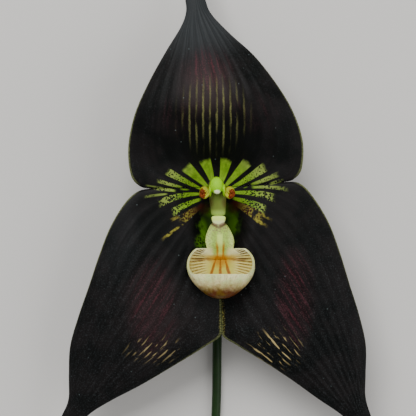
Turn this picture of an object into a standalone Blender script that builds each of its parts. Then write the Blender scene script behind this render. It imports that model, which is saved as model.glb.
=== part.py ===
"""One picked bloom of a monkey face orchid, lying face up on a flat surface.

The face of the bloom looks up (+Z) and its upper sepal points along +Y. Sizes are in millimetres,
measured from the middle of the bloom, where the column stands. When a piece is made, MM turns
them into metres and BLOOM_AT puts the middle of the bloom where the whole object is centred on
the origin.
"""

import math

import bmesh
import bpy
import numpy as np

MM = 0.001
BLOOM_AT = (-7.5, 3.22, 12.0)  # the middle of the bloom, with its height above the surface

# The face of the cup that the three sepals form
CUP_RISE = 2.4
CUP_RADII = (2.0, 11.0)
PIT_CENTRE = (0.4, -8.2)
PIT_HALF_WIDTH = 4.4
PIT_HALF_LENGTH = 4.8
PIT_DEPTH = 4.2
VALLEY_HALF_WIDTH = 4.0
VALLEY_DEPTH = 2.0
HOOD_RISE = 4.2
HOOD_HALF_WIDTH = 19.0

# Sepals: blade, ribs and tail
SEPAL_THICKNESS = 0.8
TAIL_THICKNESS = 1.25
SEAM_GAP = 0.4
CUP_HOLE_RADIUS = 2.3
BLADE_SHARE = 0.72
BLADE_DROOP = 4.4
MARGIN_FALL = 1.3
RIB_HEIGHT = 0.13
TAIL_HALF_WIDTH = 0.78
TAIL_TIP_HALF_WIDTH = 0.4
SEPAL_COLUMNS = 18
SEPAL_ROWS = 34
RIBS_ACROSS = SEPAL_COLUMNS / 2

# Column and petals
COLUMN_PROFILE = [(0.0, 6.6), (0.75, 6.45), (1.35, 6.0), (1.68, 5.3), (1.66, 4.5), (1.42, 3.4),
                  (1.38, 2.2), (1.5, 0.6), (1.62, -0.5), (1.3, -0.9), (0.0, -0.9)]
COLUMN_AT = (0.05, 0.38, 0.3)
FOOT_PATH = [(0.0, 0.2, 1.2), (0.1, -1.8, 2.0), (0.2, -3.6, 1.9), (0.25, -5.1, 1.5)]
FOOT_RADII = (1.6, 1.75, 1.6, 1.4)
CAP_SIZE = (0.85, 0.6, 0.75)
CAP_AT = (0.0, -0.8, 6.5)
CAP_GAP = 0.28
PETAL_LENGTH = 5.6
PETAL_BASE = (2.45, -0.1, 0.75)
PETAL_SPREAD = (0.6, -1.0)

# Lip: a hinge block, a narrow base and a pouch
HINGE_SIZE = (1.5, 0.85, 0.85)
HINGE_AT = (0.3, -6.35, 1.9)
BASE_ENDS = (-6.6, -13.0)
BASE_STATIONS = (-6.6, -7.2, -8.4, -9.6, -10.6, -11.6, -12.4, -13.0)
BASE_HALF_WIDTHS = (1.2, 1.75, 2.45, 2.85, 2.9, 2.65, 2.55, 2.0)
BASE_HALF_DEPTH = 1.05
BASE_HEIGHTS = (2.2, 2.75)
POUCH_AT = (0.76, -16.0, 5.0)
POUCH_HALF_SIZE = (6.75, 6.0, 3.5)
POUCH_WALL = 0.7
POUCH_POINT = 1.3
POUCH_FRONT_RIM = -1.1
POUCH_EAR_RISE = 5.1
POUCH_KEELS = 11
KEEL_HEIGHT = 0.16

# Stalk behind the bloom
OVARY_PATH = [(0.0, 0.1, -1.6), (0.0, -0.7, -4.3), (0.0, -2.4, -7.0), (0.0, -5.6, -8.8),
              (0.0, -9.5, -9.7), (0.05, -14.5, -10.0), (0.1, -23.6, -9.9)]
OVARY_RADII = (1.85, 1.75, 1.65, 1.4, 0.9, 0.74, 0.72)
OVARY_RIBS = 6
STEM_PATH = [(0.1, -24.0, -9.9), (0.05, -32.0, -10.0), (-0.2, -46.0, -10.8),
             (-1.6, -66.0, -11.1), (-4.5, -88.0, -11.1)]
STEM_RADIUS = 0.92
BRACT_PATH = [(0.08, -28.6, -9.93), (0.1, -25.2, -9.9), (0.1, -21.4, -9.92), (0.1, -17.4, -9.94)]
BRACT_RADII = (2.0, 2.05, 2.0, 1.75)
BRACT_WALL = 0.62


def smooth(value, start, end):
    """0 before start, 1 after end, and an even ease between them."""
    share = np.clip((np.asarray(value, float) - start) / (end - start), 0, 1)
    return share * share * (3 - 2 * share)


def curve_through(points, steps=24):
    """A smooth curve through the points, as a function from shares of its length to places."""
    knots = np.array(points, float)
    slopes = np.gradient(knots, axis=0)
    t = np.linspace(0, 1, steps, endpoint=False)[:, None]
    spans = [
        (2 * t**3 - 3 * t**2 + 1) * knots[i]
        + (t**3 - 2 * t**2 + t) * slopes[i]
        + (3 * t**2 - 2 * t**3) * knots[i + 1]
        + (t**3 - t**2) * slopes[i + 1]
        for i in range(len(knots) - 1)
    ]
    dense = np.vstack([*spans, knots[-1:]])
    lengths = np.concatenate([[0], np.cumsum(np.linalg.norm(np.diff(dense, axis=0), axis=1))])

    def at(share, start=0.0):
        distance = start + np.asarray(share, float) * (lengths[-1] - start)
        return np.stack([np.interp(distance, lengths, axis) for axis in dense.T], axis=-1)

    return at


def new_material(name, colour, roughness):
    """A plain Principled material with the piece's main colour."""
    material = bpy.data.materials.new(name)
    material.use_nodes = True
    shader = material.node_tree.nodes["Principled BSDF"]
    shader.inputs["Base Color"].default_value = (*colour, 1)
    shader.inputs["Roughness"].default_value = roughness
    shader.inputs["Metallic"].default_value = 0
    material.diffuse_color = (*colour, 1)
    return material


def in_metres(points):
    """Places given from the middle of the bloom in millimetres, as metres from the origin."""
    return (np.asarray(points, float) + np.array(BLOOM_AT)) * MM


def add_object(name, data, material, collection):
    """A named object in its collection, with its material."""
    made = bpy.data.objects.new(name, data)
    if material:
        made.data.materials.append(material)
    collection.objects.link(made)
    return made


def mesh_object(name, shape, material, collection):
    """The finished bmesh as a smooth shaded object."""
    bmesh.ops.recalc_face_normals(shape, faces=shape.faces)
    mesh = bpy.data.meshes.new(name)
    shape.to_mesh(mesh)
    shape.free()
    mesh.shade_smooth()
    return add_object(name, mesh, material, collection)


def move_points(shape, places):
    """Puts the bmesh's vertices at places, given in millimetres from the middle of the bloom."""
    for vertex, place in zip(shape.verts, in_metres(places)):
        vertex.co = place


def frozen(made):
    """The object as its modifiers or its curve bevel shape it, as a plain mesh with its caps welded."""
    graph = bpy.context.evaluated_depsgraph_get()
    mesh = bpy.data.meshes.new_from_object(made.evaluated_get(graph))
    shape = bmesh.new()
    shape.from_mesh(mesh)
    bmesh.ops.remove_doubles(shape, verts=shape.verts, dist=1e-6)
    bmesh.ops.recalc_face_normals(shape, faces=shape.faces)
    shape.to_mesh(mesh)
    shape.free()
    name, matrix, collection = made.name, made.matrix_world.copy(), made.users_collection[0]
    bpy.data.objects.remove(made)
    plain = bpy.data.objects.new(name, mesh)
    plain.matrix_world = matrix
    collection.objects.link(plain)
    return plain


def add_boolean(made, operation, other):
    """A Boolean with one other object."""
    modifier = made.modifiers.new(operation.lower(), "BOOLEAN")
    modifier.operation = operation
    modifier.solver = "EXACT"
    modifier.object = other
    return modifier


def joined(name, shapes):
    """Several overlapping objects made one by Boolean unions, with the first one's material."""
    first, *others = shapes
    for other in others:
        add_boolean(first, "UNION", other)
    whole = frozen(first)
    whole.name = name
    for other in others:
        bpy.data.objects.remove(other)
    return whole


def tube(name, path, radii, material, collection, sides=12, points_per_span=5):
    """A round stalk along a smooth path, as a curve object with filled caps."""
    spans = len(path) - 1
    shares = np.linspace(0, 1, spans * points_per_span + 1)
    places = in_metres(curve_through(path)(shares))
    sizes = np.interp(shares, np.linspace(0, 1, len(radii)), radii)
    curve = bpy.data.curves.new(name, "CURVE")
    curve.dimensions = "3D"
    curve.bevel_depth = MM
    curve.bevel_resolution = sides // 4 - 1
    curve.use_fill_caps = True
    spline = curve.splines.new("POLY")
    spline.points.add(len(places) - 1)
    for point, place, size in zip(spline.points, places, sizes):
        point.co = (*place, 1)
        point.radius = size
    return add_object(name, curve, material, collection)


def shaped_ball(name, place, segments, rings, material, collection):
    """A sphere whose points are moved by place, a function of their directions from the middle."""
    shape = bmesh.new()
    bmesh.ops.create_uvsphere(shape, u_segments=segments, v_segments=rings, radius=1)
    directions = np.array([vertex.co for vertex in shape.verts])
    move_points(shape, place(directions))
    return mesh_object(name, shape, material, collection)


def cup_height(x, y):
    """Height of the sepals' face over the middle of the bloom, before each sepal's own droop."""
    radius = np.hypot(x, y)
    cup = CUP_RISE * smooth(radius, *CUP_RADII)
    pit_x = (x - PIT_CENTRE[0]) / PIT_HALF_WIDTH
    pit_y = (y - PIT_CENTRE[1]) / PIT_HALF_LENGTH
    pit = PIT_DEPTH * np.exp(-((pit_x**2 + pit_y**2) ** 1.6))
    valley = VALLEY_DEPTH * np.exp(-((x - 0.6) / VALLEY_HALF_WIDTH) ** 2) * smooth(-y, 9, 15)
    hood = HOOD_RISE * smooth(y, 4, 17) * (1 - smooth(y, 17, 36))
    hood = hood * (1 - 0.6 * np.clip(np.abs(x) / HOOD_HALF_WIDTH, 0, 1) ** 2)
    return cup - pit - valley + hood


class Sepal:
    """One sepal's face: a blade between two margins that fan out from the middle of the bloom,
    and a slender tail. Left and right are as seen from the middle, looking towards the tail."""

    def __init__(self, midrib, left_margin, right_margin, free_from, tail):
        self.midrib = curve_through(midrib)
        self.margins = (curve_through(left_margin), curve_through(right_margin))
        self.free_from = free_from  # share of each margin where it leaves its neighbour's
        root = cup_height(*midrib[-1]) - BLADE_DROOP * smooth(1.0, 0.45, 1.2)
        self.tail = curve_through([(*midrib[-1], root), *tail])

    def blade_plan(self, across, share):
        """Plan places on the blade, for shares of its length from the hole round the column."""
        mid = self.midrib(share, CUP_HOLE_RADIUS)
        sides = [margin(share, CUP_HOLE_RADIUS) for margin in self.margins]
        side = np.where((across < 0)[:, None], *sides)
        out = side - mid
        width = np.linalg.norm(out, axis=1, keepdims=True)
        reach = np.abs(across)[:, None]
        chord = mid + out * (1 - SEAM_GAP / 2 / np.maximum(width, SEAM_GAP)) * reach
        bulge = np.linalg.norm(mid, axis=1) * (1 - smooth(share, 0.12, 0.5)) * reach[:, 0]
        outward = chord / np.maximum(np.linalg.norm(chord, axis=1, keepdims=True), 1e-9)
        return chord + outward * (0.9 * bulge * (1 - reach[:, 0]))[:, None]

    def tail_plan_at(self, across, share):
        """Plan places on the tail, for shares of its own length."""
        step = 0.01
        place = self.tail(share)[:, :2]
        heading = (self.tail(share + step) - self.tail(share - step))[:, :2]
        heading /= np.linalg.norm(heading, axis=1, keepdims=True)
        root = np.linalg.norm(self.margins[0](1.0) - self.margins[1](1.0)) / 2
        half = TAIL_HALF_WIDTH + (root - TAIL_HALF_WIDTH) * (1 - smooth(share, -0.12, 0.3)) / (
            1 - smooth(0, -0.12, 0.3))
        half = half + (TAIL_TIP_HALF_WIDTH - TAIL_HALF_WIDTH) * smooth(share, 0.85, 1)
        sideways = np.stack([heading[:, 1], -heading[:, 0]], axis=1)
        return place + sideways * (half * across)[:, None]

    def heights(self, across, along, plan):
        """Heights of the face: the common cup, this sepal's droop and falling margins, its ribs,
        and the tail's way down to the surface."""
        share = np.clip(along / BLADE_SHARE, 0, 1)
        tail_share = np.clip((along - BLADE_SHARE) / (1 - BLADE_SHARE), 0, 1)
        side_free = np.where(across < 0, self.free_from[0], self.free_from[1])
        droop = BLADE_DROOP * smooth(share, 0.45, 1.2)
        fall = MARGIN_FALL * np.abs(across) ** 4 * smooth(share, side_free, side_free + 0.2)
        blade = cup_height(plan[:, 0], plan[:, 1]) - droop - fall
        mid = self.midrib(share, CUP_HOLE_RADIUS)
        mid_height = cup_height(mid[:, 0], mid[:, 1]) - droop
        line = np.where(along < BLADE_SHARE, mid_height, self.tail(tail_share)[:, 2])
        to_tail = smooth(along, BLADE_SHARE - 0.16, BLADE_SHARE + 0.02)
        arch = 0.35 * to_tail * (1 - across**2)
        ribs = RIB_HEIGHT * np.cos(math.pi * RIBS_ACROSS * across)
        ribs = ribs * smooth(share, 0.08, 0.25) * (1 - smooth(share, 0.8, 1.0)) * (1 - across**6)
        return blade * (1 - to_tail) + line * to_tail + arch + ribs

    def place(self, across, along):
        """Places on the face, for across from -1 to 1 and along from 0 at the cup to 1."""
        share = np.clip(along / BLADE_SHARE, 0, 1)
        tail_share = np.clip((along - BLADE_SHARE) / (1 - BLADE_SHARE), 0, 1)
        blade = self.blade_plan(across, share)
        distance = np.linalg.norm(blade, axis=1, keepdims=True)
        blade = blade * np.maximum(1, CUP_HOLE_RADIUS / np.maximum(distance, 1e-9))
        tail = self.tail_plan_at(across, tail_share)
        plan = np.where((along < BLADE_SHARE)[:, None], blade, tail)
        return np.column_stack([plan, self.heights(across, along, plan)])


LEFT_SEAM = [(0, 0), (-5, 0.05), (-10, -0.05), (-13.2, -0.12)]
RIGHT_SEAM = [(0, 0), (5, 0.35), (10, 0.8), (13.2, 1.15)]
MIDDLE_SEAM = [(0, 0), (0.2, -7.5), (0.4, -15), (0.7, -22.5), (0.9, -27)]

SEPALS = {
    "dorsal_sepal": Sepal(
        midrib=[(0, 0), (0, 9), (-0.6, 18), (-2.2, 27), (-3.8, 33.5), (-4.4, 38)],
        left_margin=[*LEFT_SEAM, (-15.4, 0.35), (-17.2, 2.6), (-17.7, 8.2), (-16.4, 14.6),
                     (-13.6, 21), (-10.2, 27.3), (-7.2, 32.4), (-6.2, 35.4), (-6.4, 38)],
        right_margin=[*RIGHT_SEAM, (15.3, 1.75), (16.9, 3.9), (17.1, 9.2), (15.3, 14.8),
                      (12.1, 20.3), (7.6, 26.2), (2.6, 30.9), (-1.2, 35), (-2.4, 38)],
        free_from=(0.3, 0.3),
        tail=[(-5.0, 46, -5.4), (-5.3, 54, -9.4), (-4.2, 64, -11.12), (-0.6, 74.5, -11.12),
              (5.5, 84, -10.8)]),
    "left_sepal": Sepal(
        midrib=[(0, 0), (-7.5, -10), (-14.5, -20.5), (-21, -31), (-26.3, -40.5), (-29.5, -46.9)],
        left_margin=[*MIDDLE_SEAM, (0.65, -29.6), (-2.6, -31.8), (-8.6, -35.5), (-15, -39.3),
                     (-21.4, -42.7), (-25.4, -45.2), (-27.7, -47.8)],
        right_margin=[*LEFT_SEAM, (-15.9, -0.75), (-18.5, -3.2), (-21.4, -8), (-23.6, -13.6),
                      (-25.6, -19.6), (-27.7, -25.6), (-29.4, -31.6), (-29.7, -37.4),
                      (-29.8, -42.4), (-31.3, -46.0)],
        free_from=(0.47, 0.26),
        tail=[(-32.8, -53.8, -5.6), (-35.8, -61.6, -9.5), (-37.2, -71.4, -11.12),
              (-35.4, -81.4, -11.12), (-31, -90.5, -10.8)]),
    "right_sepal": Sepal(
        midrib=[(0, 0), (8, -9.8), (15.2, -20), (21.2, -30.4), (26.2, -40.5), (29.2, -47.0)],
        left_margin=[*RIGHT_SEAM, (16.4, 0.95), (19.1, -1.7), (22.3, -6.9), (24.6, -13.0),
                     (26.5, -19.2), (28.4, -25.2), (29.8, -31.4), (29.8, -37.4),
                     (29.8, -42.0), (31.0, -46.1)],
        right_margin=[*MIDDLE_SEAM, (1.15, -29.6), (3.8, -31.3), (9.2, -34.6), (14.8, -38.3),
                      (20.2, -42.2), (24.6, -45.2), (27.4, -47.9)],
        free_from=(0.26, 0.47),
        tail=[(32.2, -54, -5.6), (35.4, -61.8, -9.5), (39.8, -71.4, -11.12),
              (45.6, -80, -11.12), (52.6, -87, -10.8)]),
}


def sepal_object(name, sepal, material, table, collection):
    """A sepal as a grid moved onto its face, thickened on its back and cut flat where it rests."""
    shape = bmesh.new()
    bmesh.ops.create_grid(shape, x_segments=SEPAL_COLUMNS, y_segments=SEPAL_ROWS, size=1)
    flat = np.array([vertex.co for vertex in shape.verts])
    across, along = flat[:, 0], (flat[:, 1] + 1) / 2
    move_points(shape, sepal.place(across, along))
    mesh = bpy.data.meshes.new(name)
    shape.to_mesh(mesh)
    shape.free()
    mesh.shade_smooth()
    made = add_object(name, mesh, material, collection)
    thickness = made.vertex_groups.new(name="thickness")
    wanted = SEPAL_THICKNESS + (TAIL_THICKNESS - SEPAL_THICKNESS) * smooth(
        along, BLADE_SHARE - 0.05, BLADE_SHARE + 0.08)
    for index, weight in enumerate(wanted / TAIL_THICKNESS):
        thickness.add([index], float(weight), "REPLACE")
    wall = made.modifiers.new("thickness", "SOLIDIFY")
    wall.thickness = TAIL_THICKNESS * MM
    wall.offset = -1
    wall.vertex_group = "thickness"
    add_boolean(made, "DIFFERENCE", table).solver = "MANIFOLD"
    return made


def column_object(material, collection, helpers):
    """The column: a turned post with a domed head and a seat for the anther cap, and its foot, a
    ridge that carries the lip."""
    curve = curve_through(COLUMN_PROFILE[1:-1])
    profile = [COLUMN_PROFILE[0], *curve(np.linspace(0, 1, 13)), COLUMN_PROFILE[-1]]
    mesh = bpy.data.meshes.new("column")
    mesh.from_pydata([(r * MM, 0, z * MM) for r, z in profile],
                     [(i, i + 1) for i in range(len(profile) - 1)], [])
    post = add_object("column", mesh, material, collection)
    post.location = in_metres(COLUMN_AT)
    screw = post.modifiers.new("turn", "SCREW")
    screw.steps = screw.render_steps = 20
    screw.use_merge_vertices = True
    screw.merge_threshold = 0.00001
    bpy.context.view_layer.update()
    foot = frozen(tube("foot", FOOT_PATH, FOOT_RADII, None, collection, points_per_span=3))
    column = joined("column", [frozen(post), foot])
    seat = shaped_ball("cap_seat", lambda way: way * (np.array(CAP_SIZE) + CAP_GAP) + CAP_AT,
                       16, 10, None, helpers)
    hide_cutter(seat)
    add_boolean(column, "DIFFERENCE", seat)
    return column


def cap_object(material, collection):
    """The anther cap, a small lid on the lower front of the column's head."""
    return shaped_ball("anther_cap", lambda way: way * np.array(CAP_SIZE) + CAP_AT, 12, 8,
                       material, collection)


def petal_object(name, side, material, collection):
    """A small stiff petal beside the column. Its tip is two valves with warts between them."""
    def place(directions):
        share = (1 + directions[:, 2]) / 2
        turn = np.arctan2(directions[:, 1], directions[:, 0])
        ring = np.sqrt(np.maximum(0, 1 - directions[:, 2] ** 2)) ** 0.6
        wide = ring * (0.55 + 0.65 * smooth(share, 0.2, 0.9))
        thick = ring * (0.5 + 0.75 * smooth(share, 0.3, 0.9))
        x = wide * np.cos(turn)
        y = thick * np.sin(turn)
        cleft = 0.55 * smooth(share, 0.86, 1.0) * np.exp(-(y / 0.35) ** 2)
        warts = 0.12 * np.cos(x * 9) * np.cos(y * 9) * smooth(share, 0.8, 0.95)
        z = share * PETAL_LENGTH - cleft + warts
        lean = share**1.3
        return np.column_stack([
            side * (PETAL_BASE[0] + PETAL_SPREAD[0] * lean) + x,
            PETAL_BASE[1] + PETAL_SPREAD[1] * lean + y,
            PETAL_BASE[2] + z])

    return shaped_ball(name, place, 14, 12, material, collection)


def lip_hinge(collection):
    """The block at the lip's root, which sits on the end of the column's foot."""
    def place(directions):
        squared = np.sign(directions) * np.abs(directions) ** 0.6
        return squared * np.array(HINGE_SIZE) * 0.95 + np.array(HINGE_AT)

    return shaped_ball("lip_hinge", place, 12, 8, None, collection)


def lip_base(collection):
    """The lip's narrow base, a thick vase shape with a ridge down its middle."""
    def place(directions):
        share = (1 - directions[:, 2]) / 2
        y = BASE_ENDS[0] + (BASE_ENDS[1] - BASE_ENDS[0]) * share
        half = np.interp(-y, -np.array(BASE_STATIONS), BASE_HALF_WIDTHS)
        turn = np.arctan2(directions[:, 1], directions[:, 0])
        cap = np.minimum(1, np.sqrt(np.maximum(0, 1 - directions[:, 2] ** 2)) * 2.2)
        x = half * np.cos(turn) * cap
        ridge = 0.35 * np.exp(-(x / 0.7) ** 2) * (np.sin(turn) > 0) * cap
        z = BASE_HALF_DEPTH * np.sin(turn) * cap + ridge
        centre_x = 0.3 + 0.46 * share
        height = BASE_HEIGHTS[0] + (BASE_HEIGHTS[1] - BASE_HEIGHTS[0]) * share
        return np.column_stack([centre_x + x, y, height + z])

    return shaped_ball("lip_base", place, 20, 12, None, collection)


def pouch_rim(turn):
    """Height of the pouch's rim over its middle, for turns from the front (0) to the back (pi)."""
    ear = POUCH_EAR_RISE * smooth(np.abs(turn), math.radians(55), math.radians(122))
    return POUCH_FRONT_RIM + ear - 0.6 * smooth(np.abs(turn), math.radians(145), math.pi)


def lip_pouch(collection):
    """The lip's pouch: a thin bowl that opens towards the column, with keels fanned inside."""
    shape = bmesh.new()
    rings = 12
    bmesh.ops.create_uvsphere(shape, u_segments=30, v_segments=rings, radius=1)
    shape.verts.ensure_lookup_table()
    top = max(shape.verts, key=lambda vertex: vertex.co.z)
    bmesh.ops.delete(shape, geom=[top], context="VERTS")
    directions = np.array([vertex.co for vertex in shape.verts])
    turn = np.arctan2(directions[:, 0], directions[:, 1])
    polar = np.arccos(np.clip(-directions[:, 2], -1, 1)) / (math.pi - math.pi / rings)
    polar = polar * np.arccos(np.clip(-pouch_rim(turn) / POUCH_HALF_SIZE[1], -1, 1))
    girth = np.where(polar > math.pi / 2, 1 - 0.45 * (1 - np.sin(polar)),
                     np.sin(polar) ** POUCH_POINT)
    x = POUCH_HALF_SIZE[0] * np.sin(turn) * girth
    y = -POUCH_HALF_SIZE[1] * np.cos(polar)
    z = POUCH_HALF_SIZE[2] * np.cos(turn) * girth
    fan = np.arctan2(x, 3.6 - y)
    keels = KEEL_HEIGHT * np.cos(POUCH_KEELS * 2 * fan) * smooth(-np.cos(turn), 0.1, 0.6)
    keels = keels * smooth(np.hypot(x, 3.6 - y), 1.5, 3.5) * smooth(girth, 0.1, 0.35)
    z = z + keels
    move_points(shape, np.column_stack([x, y, z]) + np.array(POUCH_AT))
    pouch = mesh_object("lip_pouch", shape, None, collection)
    wall = pouch.modifiers.new("wall", "SOLIDIFY")
    wall.thickness = POUCH_WALL * MM
    wall.offset = -1
    return frozen(pouch)


def ovary_object(material, collection, helpers):
    """The ovary and its stalk: ribbed, bending from the back of the cup down to the surface."""
    outline = bpy.data.curves.new("ovary_outline", "CURVE")
    outline.dimensions = "2D"
    spline = outline.splines.new("POLY")
    steps = OVARY_RIBS * 3
    spline.points.add(steps - 1)
    spline.use_cyclic_u = True
    for step, point in enumerate(spline.points):
        turn = 2 * math.pi * step / steps
        size = MM * (1 + 0.1 * math.cos(OVARY_RIBS * turn))
        point.co = (size * math.cos(turn), size * math.sin(turn), 0, 1)
    section = add_object("ovary_outline", outline, None, helpers)
    section.hide_render = True
    ovary = tube("ovary", OVARY_PATH, OVARY_RADII, material, collection, points_per_span=4)
    ovary.data.bevel_mode = "OBJECT"
    ovary.data.bevel_object = section
    return frozen(ovary)


def bract_object(material, collection, helpers):
    """The thin sheath that wraps the joint between the ovary's stalk and the stem."""
    sheath = frozen(tube("floral_bract", BRACT_PATH, BRACT_RADII, material, collection,
                         points_per_span=3))
    ends = np.array(BRACT_PATH)
    first = ends[0] + (ends[0] - ends[1]) / 4
    last = ends[-1] + (ends[-1] - ends[-2]) / 4
    inner = np.array([BRACT_RADII[0], *BRACT_RADII, BRACT_RADII[-1]]) - BRACT_WALL
    bore = frozen(tube("bract_bore", [first, *ends, last], inner, None, helpers,
                       points_per_span=3))
    hide_cutter(bore)
    add_boolean(sheath, "DIFFERENCE", bore)
    return sheath


def hide_cutter(cutter):
    """Shows a cutter as wires only and keeps it out of the finished object."""
    cutter.hide_render = True
    cutter.display_type = "WIRE"


def table_cutter(helpers):
    """A slab below the surface that the bloom lies on. It cuts small flats where the bloom rests."""
    bpy.ops.mesh.primitive_cube_add(size=1)
    slab = bpy.context.active_object
    slab.name = "surface_cutter"
    slab.scale = (0.4, 0.4, 0.01)
    slab.location = (0, 0, -0.005)
    bpy.ops.object.transform_apply(location=True, rotation=False, scale=True)
    for collection in list(slab.users_collection):
        collection.objects.unlink(slab)
    helpers.objects.link(slab)
    hide_cutter(slab)
    return slab


def main():
    for old in list(bpy.data.objects):
        bpy.data.objects.remove(old)
    bloom = bpy.data.collections.new("monkey_face_orchid")
    helpers = bpy.data.collections.new("cutters")
    for collection in (bloom, helpers):
        bpy.context.scene.collection.children.link(collection)
    sepal_skin = new_material("sepal", (0.022, 0.012, 0.018), 0.6)
    petal_skin = new_material("petal", (0.55, 0.42, 0.08), 0.4)
    column_skin = new_material("column", (0.5, 0.68, 0.06), 0.35)
    cap_skin = new_material("cap", (0.85, 0.9, 0.55), 0.35)
    lip_skin = new_material("lip", (0.8, 0.72, 0.5), 0.45)
    stalk_skin = new_material("stalk", (0.06, 0.16, 0.04), 0.45)
    bract_skin = new_material("bract", (0.35, 0.36, 0.16), 0.6)
    table = table_cutter(helpers)
    for name, sepal in SEPALS.items():
        sepal_object(name, sepal, sepal_skin, table, bloom)
    column_object(column_skin, bloom, helpers)
    cap_object(cap_skin, bloom)
    petal_object("left_petal", -1, petal_skin, bloom)
    petal_object("right_petal", 1, petal_skin, bloom)
    lip = joined("lip", [lip_base(bloom), lip_pouch(bloom), lip_hinge(bloom)])
    lip.data.materials.clear()
    lip.data.materials.append(lip_skin)
    ovary_object(stalk_skin, bloom, helpers)
    stem = frozen(tube("stem", STEM_PATH, (STEM_RADIUS,) * 5, stalk_skin, bloom))
    add_boolean(stem, "DIFFERENCE", table)
    bract_object(bract_skin, bloom, helpers)


if __name__ == "__main__":
    main()
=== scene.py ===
"""The looks of the monkey face orchid bloom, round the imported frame.

The bloom lies face up. Lengths in this file are millimetres from the middle of the bloom, where
the column stands, unless a name or a unit says otherwise.
"""

import math

import bmesh
import bpy
import numpy as np
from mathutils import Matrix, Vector


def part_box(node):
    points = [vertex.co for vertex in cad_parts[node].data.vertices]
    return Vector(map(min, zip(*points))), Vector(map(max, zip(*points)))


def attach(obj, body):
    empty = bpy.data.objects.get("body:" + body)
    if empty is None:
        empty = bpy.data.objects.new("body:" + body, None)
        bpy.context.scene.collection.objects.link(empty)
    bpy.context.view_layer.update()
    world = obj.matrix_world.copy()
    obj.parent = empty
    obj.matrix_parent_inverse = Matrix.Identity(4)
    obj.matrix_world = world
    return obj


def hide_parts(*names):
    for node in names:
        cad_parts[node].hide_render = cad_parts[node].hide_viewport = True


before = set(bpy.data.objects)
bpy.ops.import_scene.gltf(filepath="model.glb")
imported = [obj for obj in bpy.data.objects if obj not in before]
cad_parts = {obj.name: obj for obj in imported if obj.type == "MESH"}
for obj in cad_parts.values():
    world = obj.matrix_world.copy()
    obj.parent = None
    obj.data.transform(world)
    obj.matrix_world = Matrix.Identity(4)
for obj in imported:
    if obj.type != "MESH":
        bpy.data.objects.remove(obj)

bl_info = {
    "name": "Monkey Face Orchid Bloom",
    "version": (1, 0, 0),
    "blender": (4, 5, 0),
    "location": "View3D > Sidebar > Orchid",
    "description": "Builds one picked orchid bloom with long tailed sepals and a pouched lip",
    "category": "Add Mesh",
}

MM = 0.001
TINY = 1e-9  # keeps a length that is divided by from being zero
MERGE_DISTANCE = 0.001 * MM
POUCH_MERGE_DISTANCE = 0.02 * MM


def middle_of_bloom():
    """The middle of the bloom in the frame, in millimetres. The column's box gives it."""
    low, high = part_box("column")
    return np.array([(low[0] + high[0]) / 2 / MM - COLUMN_MIDDLE, high[1] / MM - COLUMN_BACK,
                     low[2] / MM + COLUMN_BOTTOM])


# How far the frame's column has its middle, its back and its base from the middle of the bloom
COLUMN_MIDDLE = 0.084
COLUMN_BACK = 2.081
COLUMN_BOTTOM = 0.6
BLOOM_AT = middle_of_bloom()

# The face of the cup that the three sepals form, with its pit, its valley and its hood
CUP_RISE = 2.4
CUP_RADII = (2.0, 11.0)
PIT_CENTRE = (0.4, -8.2)
PIT_HALF_WIDTH = 4.4
PIT_HALF_LENGTH = 4.8
PIT_DEPTH = 4.2
VALLEY_HALF_WIDTH = 4.0
VALLEY_DEPTH = 2.0
HOOD_RISE = 4.2
HOOD_HALF_WIDTH = 19.0

# Sepals
SEAM_GAP = 0.01
CUP_HOLE_RADIUS = 1.2
BLADE_SHARE = 0.72
BLADE_DROOP = 4.4
MARGIN_FALL = 1.3
SEAM_CREASE = 0.3
TAIL_ARCH = 0.35
RIPPLE_HEIGHT = 0.16
RIPPLE_TURNS = 31  # radians of the margins' ripple in a sepal's whole length
VEINS_ACROSS = 11
LANE_SPACING = 1.36
TAIL_THICKNESS = 1.2
TAIL_HALF_WIDTH = 0.78
TAIL_TIP_HALF_WIDTH = 0.22
GUIDE_SPAN = 0.2
SEPAL_COLUMNS = 84
SEPAL_ROWS = 230

# Column and petals. The profile's points are distances from the column's axis and heights
COLUMN_PROFILE = [(0.0, 6.6), (0.75, 6.45), (1.35, 6.0), (1.68, 5.3), (1.66, 4.5), (1.42, 3.4),
                  (1.38, 2.2), (1.5, 0.6), (1.62, -0.5), (1.3, -0.9), (0.0, -0.9)]
COLUMN_AT = (-0.1, 0.5, 0.3)
HEAD_PINCH = 0.2
WING_AT = np.array((1.4, -0.5, 4.5))
WING_SIZE = (0.34, 1.3, 1.5)
FOOT_PATH = [(0.0, 0.2, 1.2), (0.1, -1.8, 2.0), (0.2, -3.6, 1.9), (0.25, -5.35, 1.6)]
FOOT_RADII = (1.6, 1.75, 1.6, 1.4)
FOOT_FLATNESS = 0.7
COLUMN_VOXEL = 0.1
CAP_SIZE = (0.68, 0.5, 0.42)
CAP_AT = (0.0, -0.75, 6.35)
PETAL_LENGTH = 6.6
PETAL_BASE = (2.3, -0.1, -0.25)
PETAL_SPREAD = (0.3, -1.15)
PETAL_STALK_RADIUS = 0.5
PETAL_TIP_GROWTH = (0.75, 0.95)
PETAL_CLEFT_DEPTH = 0.6
PETAL_CLEFT_HALF_WIDTH = 0.35
WART_TURNS = 11  # radians of the warts' wave in each millimetre

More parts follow.
